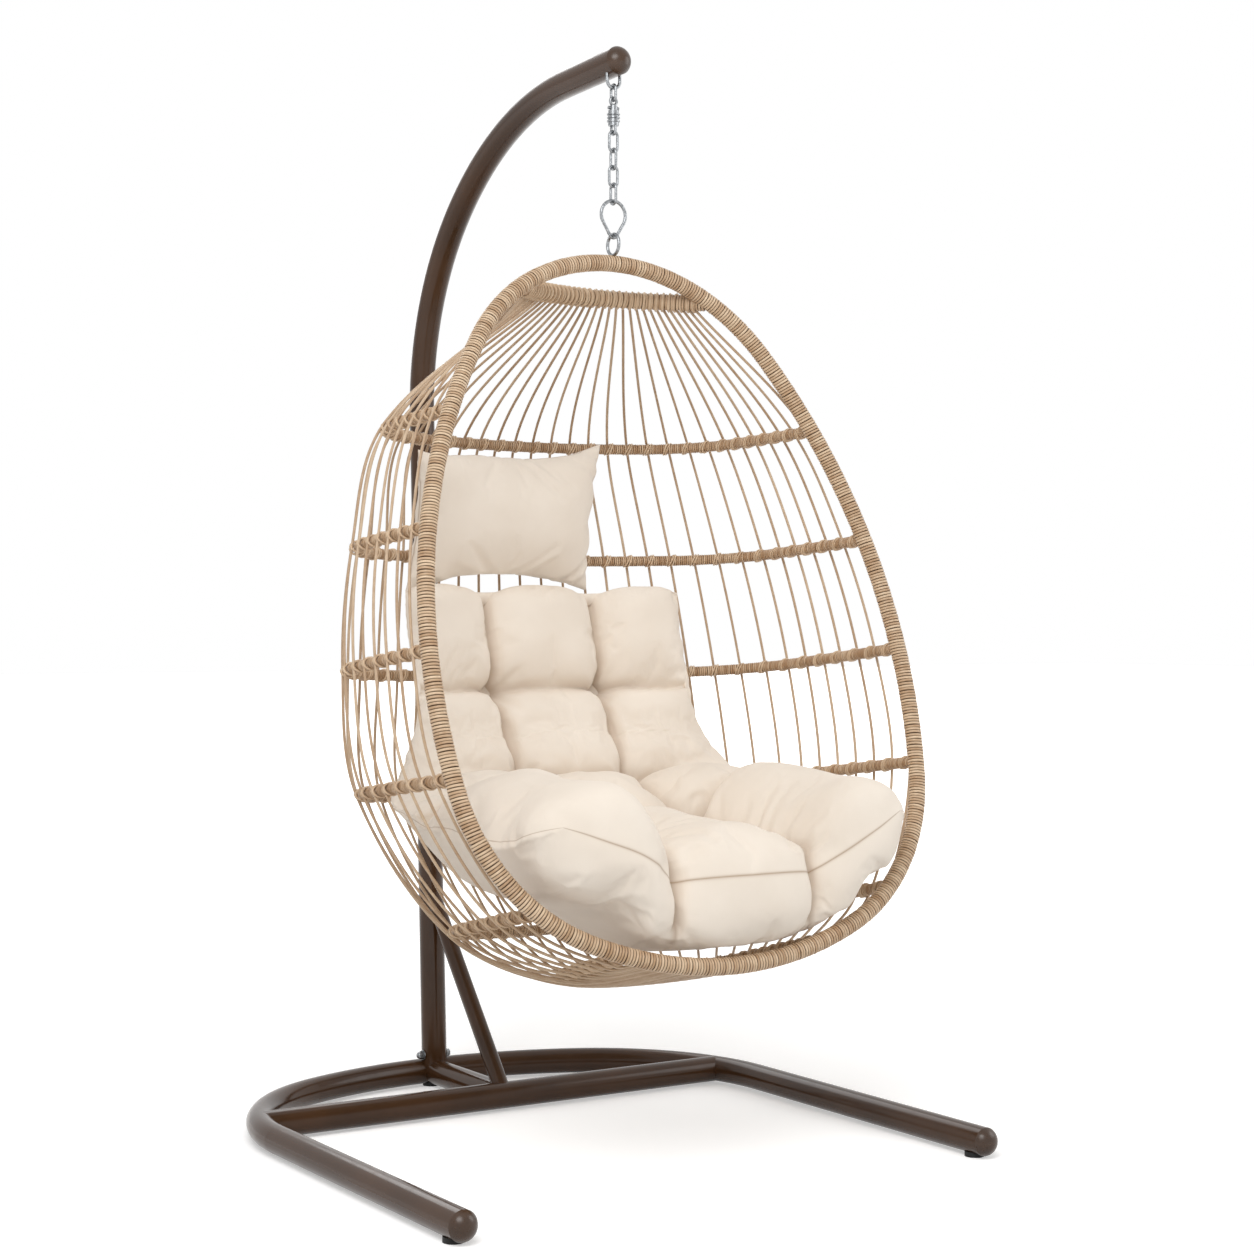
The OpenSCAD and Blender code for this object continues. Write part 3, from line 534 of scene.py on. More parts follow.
@dataclass
class Basket:
    """The basket's centre lines, in millimetres, from the same values as the CAD source.

    The rim's bends are radii with their first and last angles, from the lowest point up. The
    last two radii close the half rim exactly on its middle line. Each sunk says how far an end
    runs into the rim's or the crown bar's winding.
    """

    rim_length: float = 1246.0
    rim_tilt: float = 17.2
    rim_r: float = 15.0
    hoop_r: float = 10.0
    strand_r: float = 2.5
    strands: int = 35
    strand_gap: float = 6.0
    tie_gap: float = 0.6
    strand_sunk: float = 1.0
    hoop_sunk: float = 2.0
    crown_sunk: float = 4.0
    hang_y: float = -167.414
    rim_top_z: float = 1563.31
    bends: tuple = ((663.0, 0.0, 23.6), (333.0, 23.6, 80.7), (1094.4123923055247, 80.7, 123.6),
                    (350.89792673859426, 123.6, 180.0))
    hoops: tuple = (Hoop(1280, 425, 200, 2.2), Hoop(1082, 468, 190, 4.2),
                    Hoop(886, 510, 190, 6.2), Hoop(686, 552, 210, 7.2),
                    Hoop(478, 470, 210, 12), Hoop(402, 330, 150, 15))
    hoop_turns: tuple = (6.0, 70.0)
    crown_z: float = 1507.0
    crown_depth: float = 100.0
    crown_rise: float = 4.0
    crown_least: float = 0.12
    foot_half: float = 165.0
    starts: list = field(default_factory=list)

    def __post_init__(self) -> None:
        """Finds where each of the rim's bends starts."""
        at = np.zeros(2)
        for radius, first, last in self.bends:
            self.starts.append(at)
            a, b = radians(first), radians(last)
            at = at + radius * np.array([sin(b) - sin(a), cos(a) - cos(b)])

    # The rim

    def on_rim(self, x: float, h: float) -> Array:
        """A point of the rim's plane in the chair's frame.

        Args:
            x: How far to the +X side the point lies.
            h: How far up the rim's plane it lies, from the lowest point.

        Returns:
            The point.
        """
        back = self.rim_length - h
        tilt = radians(self.rim_tilt)
        return np.array([x, self.hang_y - back * sin(tilt), self.rim_top_z - back * cos(tilt)])

    def rim_path(self) -> Array:
        """The closed rim in steps of a degree, from its lowest point up the +X side.

        Returns:
            The points, one in each row.
        """
        half = []
        for (radius, first, last), at in zip(self.bends, self.starts):
            turns = np.radians(np.linspace(first, last, max(4, int(last - first))))
            a = radians(first)
            xs = at[0] + radius * (np.sin(turns) - sin(a))
            hs = at[1] + radius * (cos(a) - np.cos(turns))
            half.extend(zip(xs[:-1], hs[:-1]))
        half.append((0.0, self.rim_length))
        other = [(-x, h) for x, h in reversed(half[1:-1])]
        return np.array([self.on_rim(x, h) for x, h in half + other])

    def rim_width(self, z: float) -> float:
        """Half of the rim's width at height z.

        Args:
            z: The height.

        Returns:
            The half width there.
        """
        h = self.rim_length - (self.rim_top_z - z) / cos(radians(self.rim_tilt))
        i = max(k for k in range(4) if k == 0 or h > self.starts[k][1])
        radius, first, _ = self.bends[i]
        a0 = radians(first)
        a = acos(cos(a0) - (h - self.starts[i][1]) / radius)
        return self.starts[i][0] + radius * (sin(a) - sin(a0))

    # Hoops and the crown bar

    def in_plane(self, point: Sequence[float], z: float, slope: float) -> Array:
        """A point of a hoop's sloping plane in the chair's frame.

        Args:
            point: How far across and back it lies in the plane.
            z: The height at which the plane meets the rim.
            slope: The plane's slope in degrees, down towards the back.

        Returns:
            The point.
        """
        a = radians(slope)
        y = self.hang_y - (self.rim_top_z - z) * tan(radians(self.rim_tilt))
        return np.array([point[0], y + point[1] * cos(a), z - point[1] * sin(a)])

    def hoop_bends(self, i: int) -> list[Triple]:
        """The three bends of half of hoop i, as radii with angles in radians.

        Args:
            i: The hoop's number, from the top.

        Returns:
            Radius, first angle and last angle of the side, corner and back.
        """
        hoop = self.hoops[i]
        a1, a2 = (radians(a) for a in self.hoop_turns)
        a, b, c, d = 1 - cos(a1), cos(a2), sin(a1), 1 - sin(a2)
        p = self.rim_width(hoop.z) - hoop.corner * (cos(a1) - cos(a2))
        q = hoop.depth - hoop.corner * (sin(a2) - sin(a1))
        det = a * d - b * c
        side, back = (p * d - q * b) / det, (a * q - c * p) / det
        return [(side, 0.0, a1), (hoop.corner, a1, a2), (back, a2, pi / 2)]

    def hoop_half(self, i: int) -> float:
        """The length of half of hoop i."""
        return sum(r * (b - a) for r, a, b in self.hoop_bends(i))

    def hoop_point(self, i: int, distance: float, push: float = 0.0) -> Array:
        """A point along the +X half of a hoop.

        Args:
            i: The hoop's number from the top.
            distance: How far it lies from the rim, along the hoop.
            push: How far it is moved outwards.

        Returns:
            The point in the chair's frame.
        """
        hoop = self.hoops[i]
        at, left = np.array([self.rim_width(hoop.z), 0.0]), distance
        for n, (radius, first, last) in enumerate(self.hoop_bends(i)):
            start = heading(first)
            length = radius * (last - first)
            if left <= length or n == 2:
                break
            at = at + radius * (heading(last) - start)
            left -= length
        a = first + left / radius
        out = heading(a)
        return self.in_plane(at + radius * (out - start) + push * out, hoop.z, hoop.slope)

    def hoop_path(self, i: int, step: float = 6.0) -> Array:
        """The whole of hoop i in steps, from winding to winding of the rim.

        Args:
            i: The hoop's number, from the top.
            step: The distance between two points.

        Returns:
            The points, from the +X side to the other.
        """
        half, cut = self.hoop_half(i), self.rim_r - self.hoop_sunk
        right = [self.hoop_point(i, s) for s in np.linspace(cut, half, int(half / step))]
        left = [p * np.array([-1, 1, 1]) for p in reversed(right[:-1])]
        return np.array(right + left)

    def crown(self) -> tuple[float, float]:
        """The crown bar's radius and half angle.

        Returns:
            The radius in millimetres and the angle in radians.
        """
        half = self.rim_width(self.crown_z)
        radius = (half * half + self.crown_depth ** 2) / (2 * self.crown_depth)
        return radius, asin(half / radius)

    def crown_point(self, angle: float) -> Array:
        """The crown bar's point at an angle from its middle.

        Args:
            angle: The angle in radians, towards +X.

        Returns:
            The point.
        """
        radius, _ = self.crown()
        flat = (radius * sin(angle), self.crown_depth - radius + radius * cos(angle))
        return self.in_plane(flat, self.crown_z, -self.crown_rise)

    def crown_path(self, count: int = 60) -> Array:
        """The crown bar as a number of points, from winding to winding of the rim.

        Args:
            count: How many points there are.

        Returns:
            The points, from the +X side to the other.
        """
        radius, half = self.crown()
        end = half - (self.rim_r - self.crown_sunk) / radius
        return np.array([self.crown_point(a) for a in np.linspace(end, -end, count)])

    # Strands

    def share(self, k: float, least: float) -> float:
        """Strand k's share of a half, from the least near the rim to 1 at the middle."""
        return 1 - abs(2 * k / (self.strands - 1) - 1) * (1 - least)

    def side(self, k: float) -> int:
        """1 for strands of the +X half, and -1 for the others."""
        return 1 if k * 2 < self.strands - 1 else -1

    def crossing(self, i: int, k: float, push: float = 0.0, past: float = 0.0) -> Array:
        """Where a strand crosses a hoop's centre line.

        Args:
            i: The hoop's number.
            k: The strand's number.
            push: How far the point is moved outwards.
            past: How far it is moved along the hoop.

        Returns:
            The point.
        """
        half = self.hoop_half(i)
        least = (self.rim_r + 4 * self.strand_r + self.strand_gap) / half
        point = self.hoop_point(i, half * self.share(k, least) + past, push)
        return point * np.array([self.side(k), 1, 1])

    def crown_end(self, k: float) -> Array:
        """Where strand k leaves the crown bar."""
        angle = self.crown()[1] * (1 - self.share(k, self.crown_least))
        return self.crown_point(angle) * np.array([self.side(k), 1, 1])

    def foot_end(self, k: float) -> Array:
        """Where strand k reaches the bottom of the rim.

        Args:
            k: The strand's number, or a value near it.

        Returns:
            The point on the rim's centre line.
        """
        x = self.foot_half * (1 - self.share(k, 0))
        r = self.bends[0][0]
        return self.on_rim(x, r - sqrt(r * r - x * x)) * np.array([self.side(k), 1, 1])

    def strand_path(self, k: int, steps: int = 14) -> Array:
        """Strand k as a smooth curve outside every hoop, with steps between two of them.

        Args:
            k: The strand's number.
            steps: How many points there are from one hoop to the next.

        Returns:
            The points, from the crown bar down to the rim.
        """
        crossings = [self.crossing(i, k) for i in range(len(self.hoops))]
        centres = [self.crown_end(k), *crossings, self.foot_end(k)]
        tie = self.hoop_r + self.strand_r + self.tie_gap
        knots = [self._square_end(centres[0], centres[1], self.crown_end(k + NUDGE) - centres[0])]
        for i in range(1, len(centres) - 1):
            out = self.crossing(i - 1, k, 1) - centres[i]
            bar = self.crossing(i - 1, k, 0, 1) - centres[i]
            n = unit(np.cross(bar, centres[i + 1] - centres[i - 1]))
            knots.append(centres[i] + tie * np.sign(n @ out) * n)
        knots.append(self._square_end(centres[-1], centres[-2],
                                      self.foot_end(k + NUDGE) - centres[-1]))
        return smooth_curve(np.array(knots), steps)

    def _square_end(self, c: Array, following: Array, bar: Array) -> Array:
        """A strand's end inside a winding, square to its bar.

        Args:
            c: The end on the bar's centre line.
            following: The next point of the strand.
            bar: The bar's direction.

        Returns:
            The point.
        """
        d, t = following - c, unit(bar)
        return c + (self.rim_r - self.strand_sunk) * unit(d - (d @ t) * t)


# ---------- Geometry trees ----------

STRIP_HALF = 0.53  # Half of a strip's width over the pitch: neighbouring turns just overlap.
CORD_UNSHADED, KNOT_UNSHADED = 0.66, 0.8  # Crest values of cords and knots, from full painted gap shade at 0 to none at 1.


class Tree(Nodes):
    """A Geometry Nodes tree with named inputs, applied to one source object."""

    def __init__(self, name: str, **numbers: float) -> None:
        """Starts a tree whose inputs are these numbers, unless make is told otherwise.

        Args:
            name: The tree's name.
            **numbers: Its inputs by name, with their defaults.
        """
        super().__init__(bpy.data.node_groups.new(name, "GeometryNodeTree"))
        face = self.tree.interface
        face.new_socket("Geometry", in_out="INPUT", socket_type="NodeSocketGeometry")
        self.values = dict(numbers)
        for key, value in numbers.items():
            kind = "NodeSocketInt" if isinstance(value, int) else "NodeSocketFloat"
            face.new_socket(key, in_out="INPUT", socket_type=kind)
        face.new_socket("Material", in_out="INPUT", socket_type="NodeSocketMaterial")
        face.new_socket("Geometry", in_out="OUTPUT", socket_type="NodeSocketGeometry")
        self.enter = self.add("NodeGroupInput").outputs

    def node(self, kind: str, props: dict | None = None, **inputs: object) -> Socket:
        """Adds a node and returns its first enabled output."""
        return next(s for s in self.add(kind, props, **inputs).outputs if s.enabled)

    def plus(self, name: str, more: float) -> Socket:
        """The sum of an input and a number."""
        return self.maths("ADD", self.enter[name], more)

    def random(self, low: Number, high: Number, step: int = 0) -> Socket:
        """A random number for each element, from the seed that lies step after Seed."""
        return self.node("FunctionNodeRandomValue", Min=low, Max=high,
                         Seed=self.plus("Seed", step) if step else self.enter["Seed"])

    def wobble(self, step: int = 0) -> Socket:
        """A random number of up to Wobble either way."""
        return self.random(self.maths("MULTIPLY", self.enter["Wobble"], -1.0),
                           self.enter["Wobble"], step)

    def xyz(self, x: Number, y: Number, z: Number) -> Socket:
        """A vector of three numbers."""
        return self.node("ShaderNodeCombineXYZ", X=x, Y=y, Z=z)

    def place(self) -> bpy.types.NodeOutputs:
        """The X, Y and Z of each element's position."""
        return self.add("ShaderNodeSeparateXYZ",
                        Vector=self.node("GeometryNodeInputPosition")).outputs

    def ring(self, sides: Number, radius: Number) -> Socket:
        """A circle on the XY plane."""
        return self.node("GeometryNodeCurvePrimitiveCircle", {"mode": "RADIUS"},
                         Resolution=sides, Radius=radius)

    def lean(self, rotation: Socket, x: Number, y: Number = 0.0) -> Socket:
        """A rotation, leant about its own X and Y.

        Args:
            rotation: The rotation.
            x: The lean about X in radians.
            y: The lean about Y in radians.

        Returns:
            The rotation after the lean.
        """
        turn = self.node("FunctionNodeEulerToRotation", Euler=self.xyz(x, y, 0.0))
        return self.node("FunctionNodeRotateRotation", {"rotation_space": "LOCAL"},
                         Rotation=rotation, Rotate_By=turn)

    def store(self, geometry: Socket, name: str, value: Number, domain: str) -> Socket:
        """Stores a number on the geometry.

        Args:
            geometry: The geometry.
            name: The attribute's name.
            value: The number.
            domain: The kind of element that carries it.

        Returns:
            The geometry with its attribute.
        """
        return self.node("GeometryNodeStoreNamedAttribute",
                         {"data_type": "FLOAT", "domain": domain},
                         Geometry=geometry, Name=name, Value=value)

    def finish(self, geometry: Socket) -> None:
        """Ends the tree: instances made real and smooth, then the material.

        Args:
            geometry: The geometry that the tree has made.
        """
        real = self.node("GeometryNodeRealizeInstances", Geometry=geometry)
        shaded = self.node("GeometryNodeSetShadeSmooth", Geometry=real)
        out = self.node("GeometryNodeSetMaterial", Geometry=shaded,
                        Material=self.enter["Material"])
        self.add("NodeGroupOutput", i_0=out)

    def make(self, name: str, source: Thing, material: Material, **numbers: float) -> Thing:
        """Runs the tree on a source and returns the result as a plain mesh object.

        Args:
            name: The new piece's name.
            source: The path or points, which is removed.
            material: The piece's material.
            **numbers: Values for the tree's inputs in place of its defaults.

        Returns:
            The piece.
        """
        modifier = source.modifiers.new("Tree", "NODES")
        modifier.node_group = self.tree
        wanted = {**self.values, **numbers, "Material": material}
        for item in self.tree.interface.items_tree:
            if item.item_type == "SOCKET" and item.in_out == "INPUT" and item.name in wanted:
                modifier[item.identifier] = wanted[item.name]
        graph = bpy.context.evaluated_depsgraph_get()
        mesh = bpy.data.meshes.new_from_object(source.evaluated_get(graph))
        mesh.name = name
        old = source.data
        bpy.data.objects.remove(source)
        bpy.data.meshes.remove(old)
        return linked(name, mesh)


def half_round(t: Tree, width: Number, height: Number) -> Socket:
    """A closed half-round section in a tree, with a crest of 1 at its crown; the crest sets where
    the wicker gets painted gap shade.

    Args:
        t: The tree.
        width: Half of the flat side.
        height: The rise over the flat side.

    Returns:
        The section's curve.
    """
    arc = t.node("GeometryNodeCurveArc", {"mode": "RADIUS"}, Resolution=4, Radius=1.0,
                 Start_Angle=0.0, Sweep_Angle=pi)
    crest = t.store(arc, "crest", t.place()["Y"], "POINT")
    closed = t.node("GeometryNodeSetSplineCyclic", Geometry=crest, Cyclic=True)
    turned = t.node("GeometryNodeTransform", Geometry=closed, Rotation=(0.0, 0.0, -pi / 2))
    return t.node("GeometryNodeTransform", Geometry=turned, Scale=t.xyz(height, width, 1.0))


def winding_tree() -> Tree:
    """Turns of a wicker strip, side by side along a path.

    Returns:
        The tree, whose source is a path.
    """
    t = Tree("winding", Pitch=0.0053, Radius=0.0133, Height=0.0017, Tilt=0.06, Wobble=0.03,
             Dark=0.0, Sides=12, Seed=3)
    path = t.node("GeometryNodeMeshToCurve", Mesh=t.enter[0])
    even = t.node("GeometryNodeResampleCurve", {"mode": "LENGTH"}, Curve=path,
                  Length=t.enter["Pitch"])
    section = half_round(t, t.maths("MULTIPLY", t.enter["Pitch"], STRIP_HALF), t.enter["Height"])
    turn = t.node("GeometryNodeCurveToMesh", Profile_Curve=section,
                  Curve=t.ring(t.enter["Sides"], t.enter["Radius"]))
    aligned = t.node("FunctionNodeAlignRotationToVector", {"axis": "Z"},
                     Vector=t.node("GeometryNodeInputTangent"))
    tilt = t.maths("ADD", t.enter["Tilt"], t.wobble())
    swell = t.random(0.985, 1.02, 2)
    turns = t.node("GeometryNodeInstanceOnPoints", Points=even, Instance=turn,
                   Rotation=t.lean(aligned, tilt, t.wobble(1)), Scale=t.xyz(swell, swell, 1.0))
    shade = t.random(t.enter["Dark"], t.plus("Dark", 1.0), 3)
    t.finish(t.store(turns, "shade", shade, "INSTANCE"))
    return t


def cord_tree() -> Tree:
    """A round cord along each path.

    Returns:
        The tree, whose source is one path or more.
    """
    t = Tree("cord", Radius=0.0025, Sides=8, Seed=5)
    path = t.node("GeometryNodeMeshToCurve", Mesh=t.enter[0])
    marked = t.store(path, "shade", t.random(0.0, 0.8), "CURVE")
    tube = t.node("GeometryNodeCurveToMesh", Curve=marked, Fill_Caps=True,
                  Profile_Curve=t.ring(t.enter["Sides"], t.enter["Radius"]))
    # Painted shade: the fixed crest mixes some of the gap's painted shade into the whole cord.
    t.finish(t.store(tube, "crest", CORD_UNSHADED, "POINT"))
    return t


def knot_tree() -> Tree:
    """Slanted wraps round a bar at each point, which carries the bar's line and its outside.

    Returns:
        The tree, whose source is a set of points.
    """
    t = Tree("knot", Radius=0.0105, Cord=0.0018, Slant=0.45, Shift=0.0, Over=0.45, Wobble=0.08,
             Seed=9)
    wrap = t.node("GeometryNodeCurveToMesh", Curve=t.ring(14, t.enter["Radius"]),
                  Profile_Curve=t.ring(5, t.enter["Cord"]))
    # Sheared along the bar so that the wrap stays on the bar's round at any slant.
    place = t.place()
    over = t.maths("MULTIPLY", t.maths("MAXIMUM", place["X"], 0.0), t.enter["Over"])
    slant = t.maths("MULTIPLY", place["Y"], t.enter["Slant"])
    sheared = t.node("GeometryNodeSetPosition", Geometry=wrap,
                     Offset=t.xyz(over, 0.0, t.maths("ADD", slant, t.enter["Shift"])))
    bar, out = (t.node("GeometryNodeInputNamedAttribute", {"data_type": "FLOAT_VECTOR"},
                       Name=name) for name in ("bar", "out"))
    aligned = t.node("FunctionNodeAxesToRotation", {"primary_axis": "Z", "secondary_axis": "X"},
                     Primary_Axis=bar, Secondary_Axis=out)
    points = t.node("GeometryNodeMeshToPoints", Mesh=t.enter[0])
    knots = t.node("GeometryNodeInstanceOnPoints", Points=points, Instance=sheared,
                   Rotation=t.lean(aligned, t.wobble()))
    marked = t.store(knots, "shade", t.random(0.0, 0.35), "INSTANCE")
    # Painted shade: the fixed crest mixes a little of the gap's painted shade into each knot.
    t.finish(t.store(marked, "crest", KNOT_UNSHADED, "INSTANCE"))
    return t


# ---------- Wicker ----------


@dataclass
class WickerWork:
    """The windings, knots and strands of the basket, with sizes in metres."""

    basket: Basket
    material: Material
    hoop_pitch: float = 0.0042
    hoop_radius: float = 0.0090
    hoop_strip: float = 0.0010
    hoop_dark: float = 0.45
    knot_shift: float = 0.0024
    crown_cord: float = 0.0024
    groups: int = 7

    def build(self) -> None:
        """Makes every wicker piece."""
        b, winding, cord = self.basket, winding_tree(), cord_tree()
        self._piece(winding, "rim_turns", path_object("rim_path", [b.rim_path()], closed=True),
                    "rim_winding")
        crown = path_object("crown_path", [b.crown_path()])
        self._piece(winding, "crown_turns", crown, "crown_winding", Seed=23)
        for i in range(len(b.hoops)):
            self._piece(winding, f"hoop_{i + 1}_turns",
                        path_object("hoop_path", [b.hoop_path(i)]), f"hoop_{i + 1}",
                        Pitch=self.hoop_pitch, Radius=self.hoop_radius, Height=self.hoop_strip,
                        Dark=self.hoop_dark, Seed=41 + 7 * i)
        self._knots()
        each = b.strands // self.groups
        for g in range(self.groups):
            paths = [b.strand_path(k) for k in range(g * each, (g + 1) * each)]
            self._piece(cord, f"strand_cords_{g + 1}", path_object("strand_path", paths),
                        f"strands_{g + 1}", Seed=60 + g)

    def _piece(self, tree: Tree, name: str, source: Thing, *nodes: str, **numbers: float) -> None:
        """Makes a piece with a tree and finishes it.

        Args:
            tree: The geometry tree.
            name: The piece's name.
            source: The tree's path or points.
            *nodes: The CAD nodes that the piece stands for.
            **numbers: The tree's inputs.
        """
        piece = tree.make(name, source, self.material, **numbers)
        dress(piece, "basket", "wicker", self.material, *nodes)

    def _knots(self) -> None:
        """Two wraps at each crossing of a strand and a hoop, and one at the crown bar."""
        b, tree, strands = self.basket, knot_tree(), range(self.basket.strands)
        pairs = [(i, k) for i in range(len(b.hoops)) for k in strands]
        places = np.array([b.crossing(i, k) for i, k in pairs])
        bars = [unit(b.crossing(i, k, 0, 1) - at) * b.side(k) for (i, k), at in zip(pairs, places)]
        outs = [unit(b.crossing(i, k, 1) - at) for (i, k), at in zip(pairs, places)]
        for name, shift, seed in (("knots_a", -self.knot_shift, 11),
                                  ("knots_b", self.knot_shift, 12)):
            self._piece(tree, name, self._marks(places, bars, outs), Shift=shift, Seed=seed)
        places = np.array([b.crown_end(k) for k in strands])
        bars = [b.crown_end(k + NUDGE) - b.crown_end(k - NUDGE) for k in strands]
        outs = np.array([b.crossing(0, k) for k in strands]) - places
        self._piece(tree, "crown_knots", self._marks(places, bars, outs), Radius=b.rim_r * MM,
                    Cord=self.crown_cord, Slant=0.15, Over=0.1, Seed=13)

    @staticmethod
    def _marks(places: Array, bars: Sequence[Array], outs: Sequence[Array]) -> Thing:
        """Points for the knots' tree.

        Args:
            places: Where the knots lie, in millimetres.
            bars: The line of the bar at each of them.
            outs: The outside of the bar at each of them.

        Returns:
            The points, with both directions as attributes.
        """
        source = mesh_object("knot_points", places * MM, [])
        for key, values in (("bar", bars), ("out", outs)):
            stored = source.data.attributes.new(key, "FLOAT_VECTOR", "POINT")
            stored.data.foreach_set("vector", np.array(values, np.float32).ravel())
        return source


# ---------- Cushions ----------


def bell(distance: Array, width: float) -> Array:
    """A smooth bell of height 1."""
    return np.exp(-(distance / width) ** 2)


def ramp(value: Array, first: float, last: float) -> Array:
    """0 before first, 1 after last, and smooth between them."""
    return np.sin(pi / 2 * np.clip((value - first) / (last - first), 0, 1)) ** 2


def inflate(piece: Thing, cap: float, slack: float, pressure: float = 4.0,
            frames: int = 20) -> None:
    """Swells a closed mesh as filled fabric, and applies the result.

    Args:
        piece: The mesh object; its attribute "held" says how firmly points are held.
        cap: The farthest that a vertex may move, in metres.
        slack: The fabric's surplus length, which makes the wrinkles.
        pressure: The filling's pressure.
        frames: How long the simulation runs.
    """
    rest = np.array([v.co[:] for v in piece.data.vertices])
    group = piece.vertex_groups.new(name="held")
    for n, point in enumerate(piece.data.attributes["held"].data):
        group.add([n], point.value, "REPLACE")
    cloth = piece.modifiers.new("Cloth", "CLOTH")
    wanted = {"quality": 5, "mass": 0.25, "air_damping": 3.0, "tension_stiffness": 20.0,
              "compression_stiffness": 20.0, "shear_stiffness": 8.0, "bending_stiffness": 0.3,
              "use_pressure": True, "uniform_pressure_force": pressure, "shrink_min": -slack,
              "vertex_group_mass": "held"}
    for key, value in wanted.items():
        setattr(cloth.settings, key, value)
    cloth.settings.effector_weights.gravity = 0.0
    cloth.collision_settings.use_collision = False
    cloth.collision_settings.use_self_collision = False
    cloth.point_cache.frame_start = 1
    cloth.point_cache.frame_end = frames
    scene = bpy.context.scene
    for number in range(1, frames + 1):
        scene.frame_set(number)
    graph = bpy.context.evaluated_depsgraph_get()
    shift = np.array([v.co[:] for v in piece.evaluated_get(graph).data.vertices]) - rest
    piece.modifiers.remove(cloth)
    piece.vertex_groups.clear()
    scene.frame_set(1)
    size = np.linalg.norm(shift, axis=1, keepdims=True)
    LOG.info("%s: moved up to %.1f mm", piece.name, size.max() / MM)
    shift *= np.minimum(1.0, cap / np.maximum(size, TINY))
    piece.data.vertices.foreach_set("co", (rest + shift).astype(np.float32).ravel())
    piece.data.update()


@dataclass
class Pad:
    """What both cushions share: the fabric, and how they are stuffed."""

    material: Material

    def stuff(self, piece: Thing, node: str, cap: float, slack: float) -> None:
        """Inflates a closed pad and finishes it.

        Args:
            piece: The pad, with its attribute "held".
            node: The CAD node that it stands for.
            cap: The farthest that a vertex may move, in metres.
            slack: The fabric's surplus length.
        """
        inflate(piece, cap, slack)
        piece.data.attributes.remove(piece.data.attributes["held"])
        finer = piece.modifiers.new("Subdivision", "SUBSURF")
        finer.levels = finer.render_levels = 1
        smooth(piece)
        dress(piece, "basket", "cream_fabric", self.material, node)


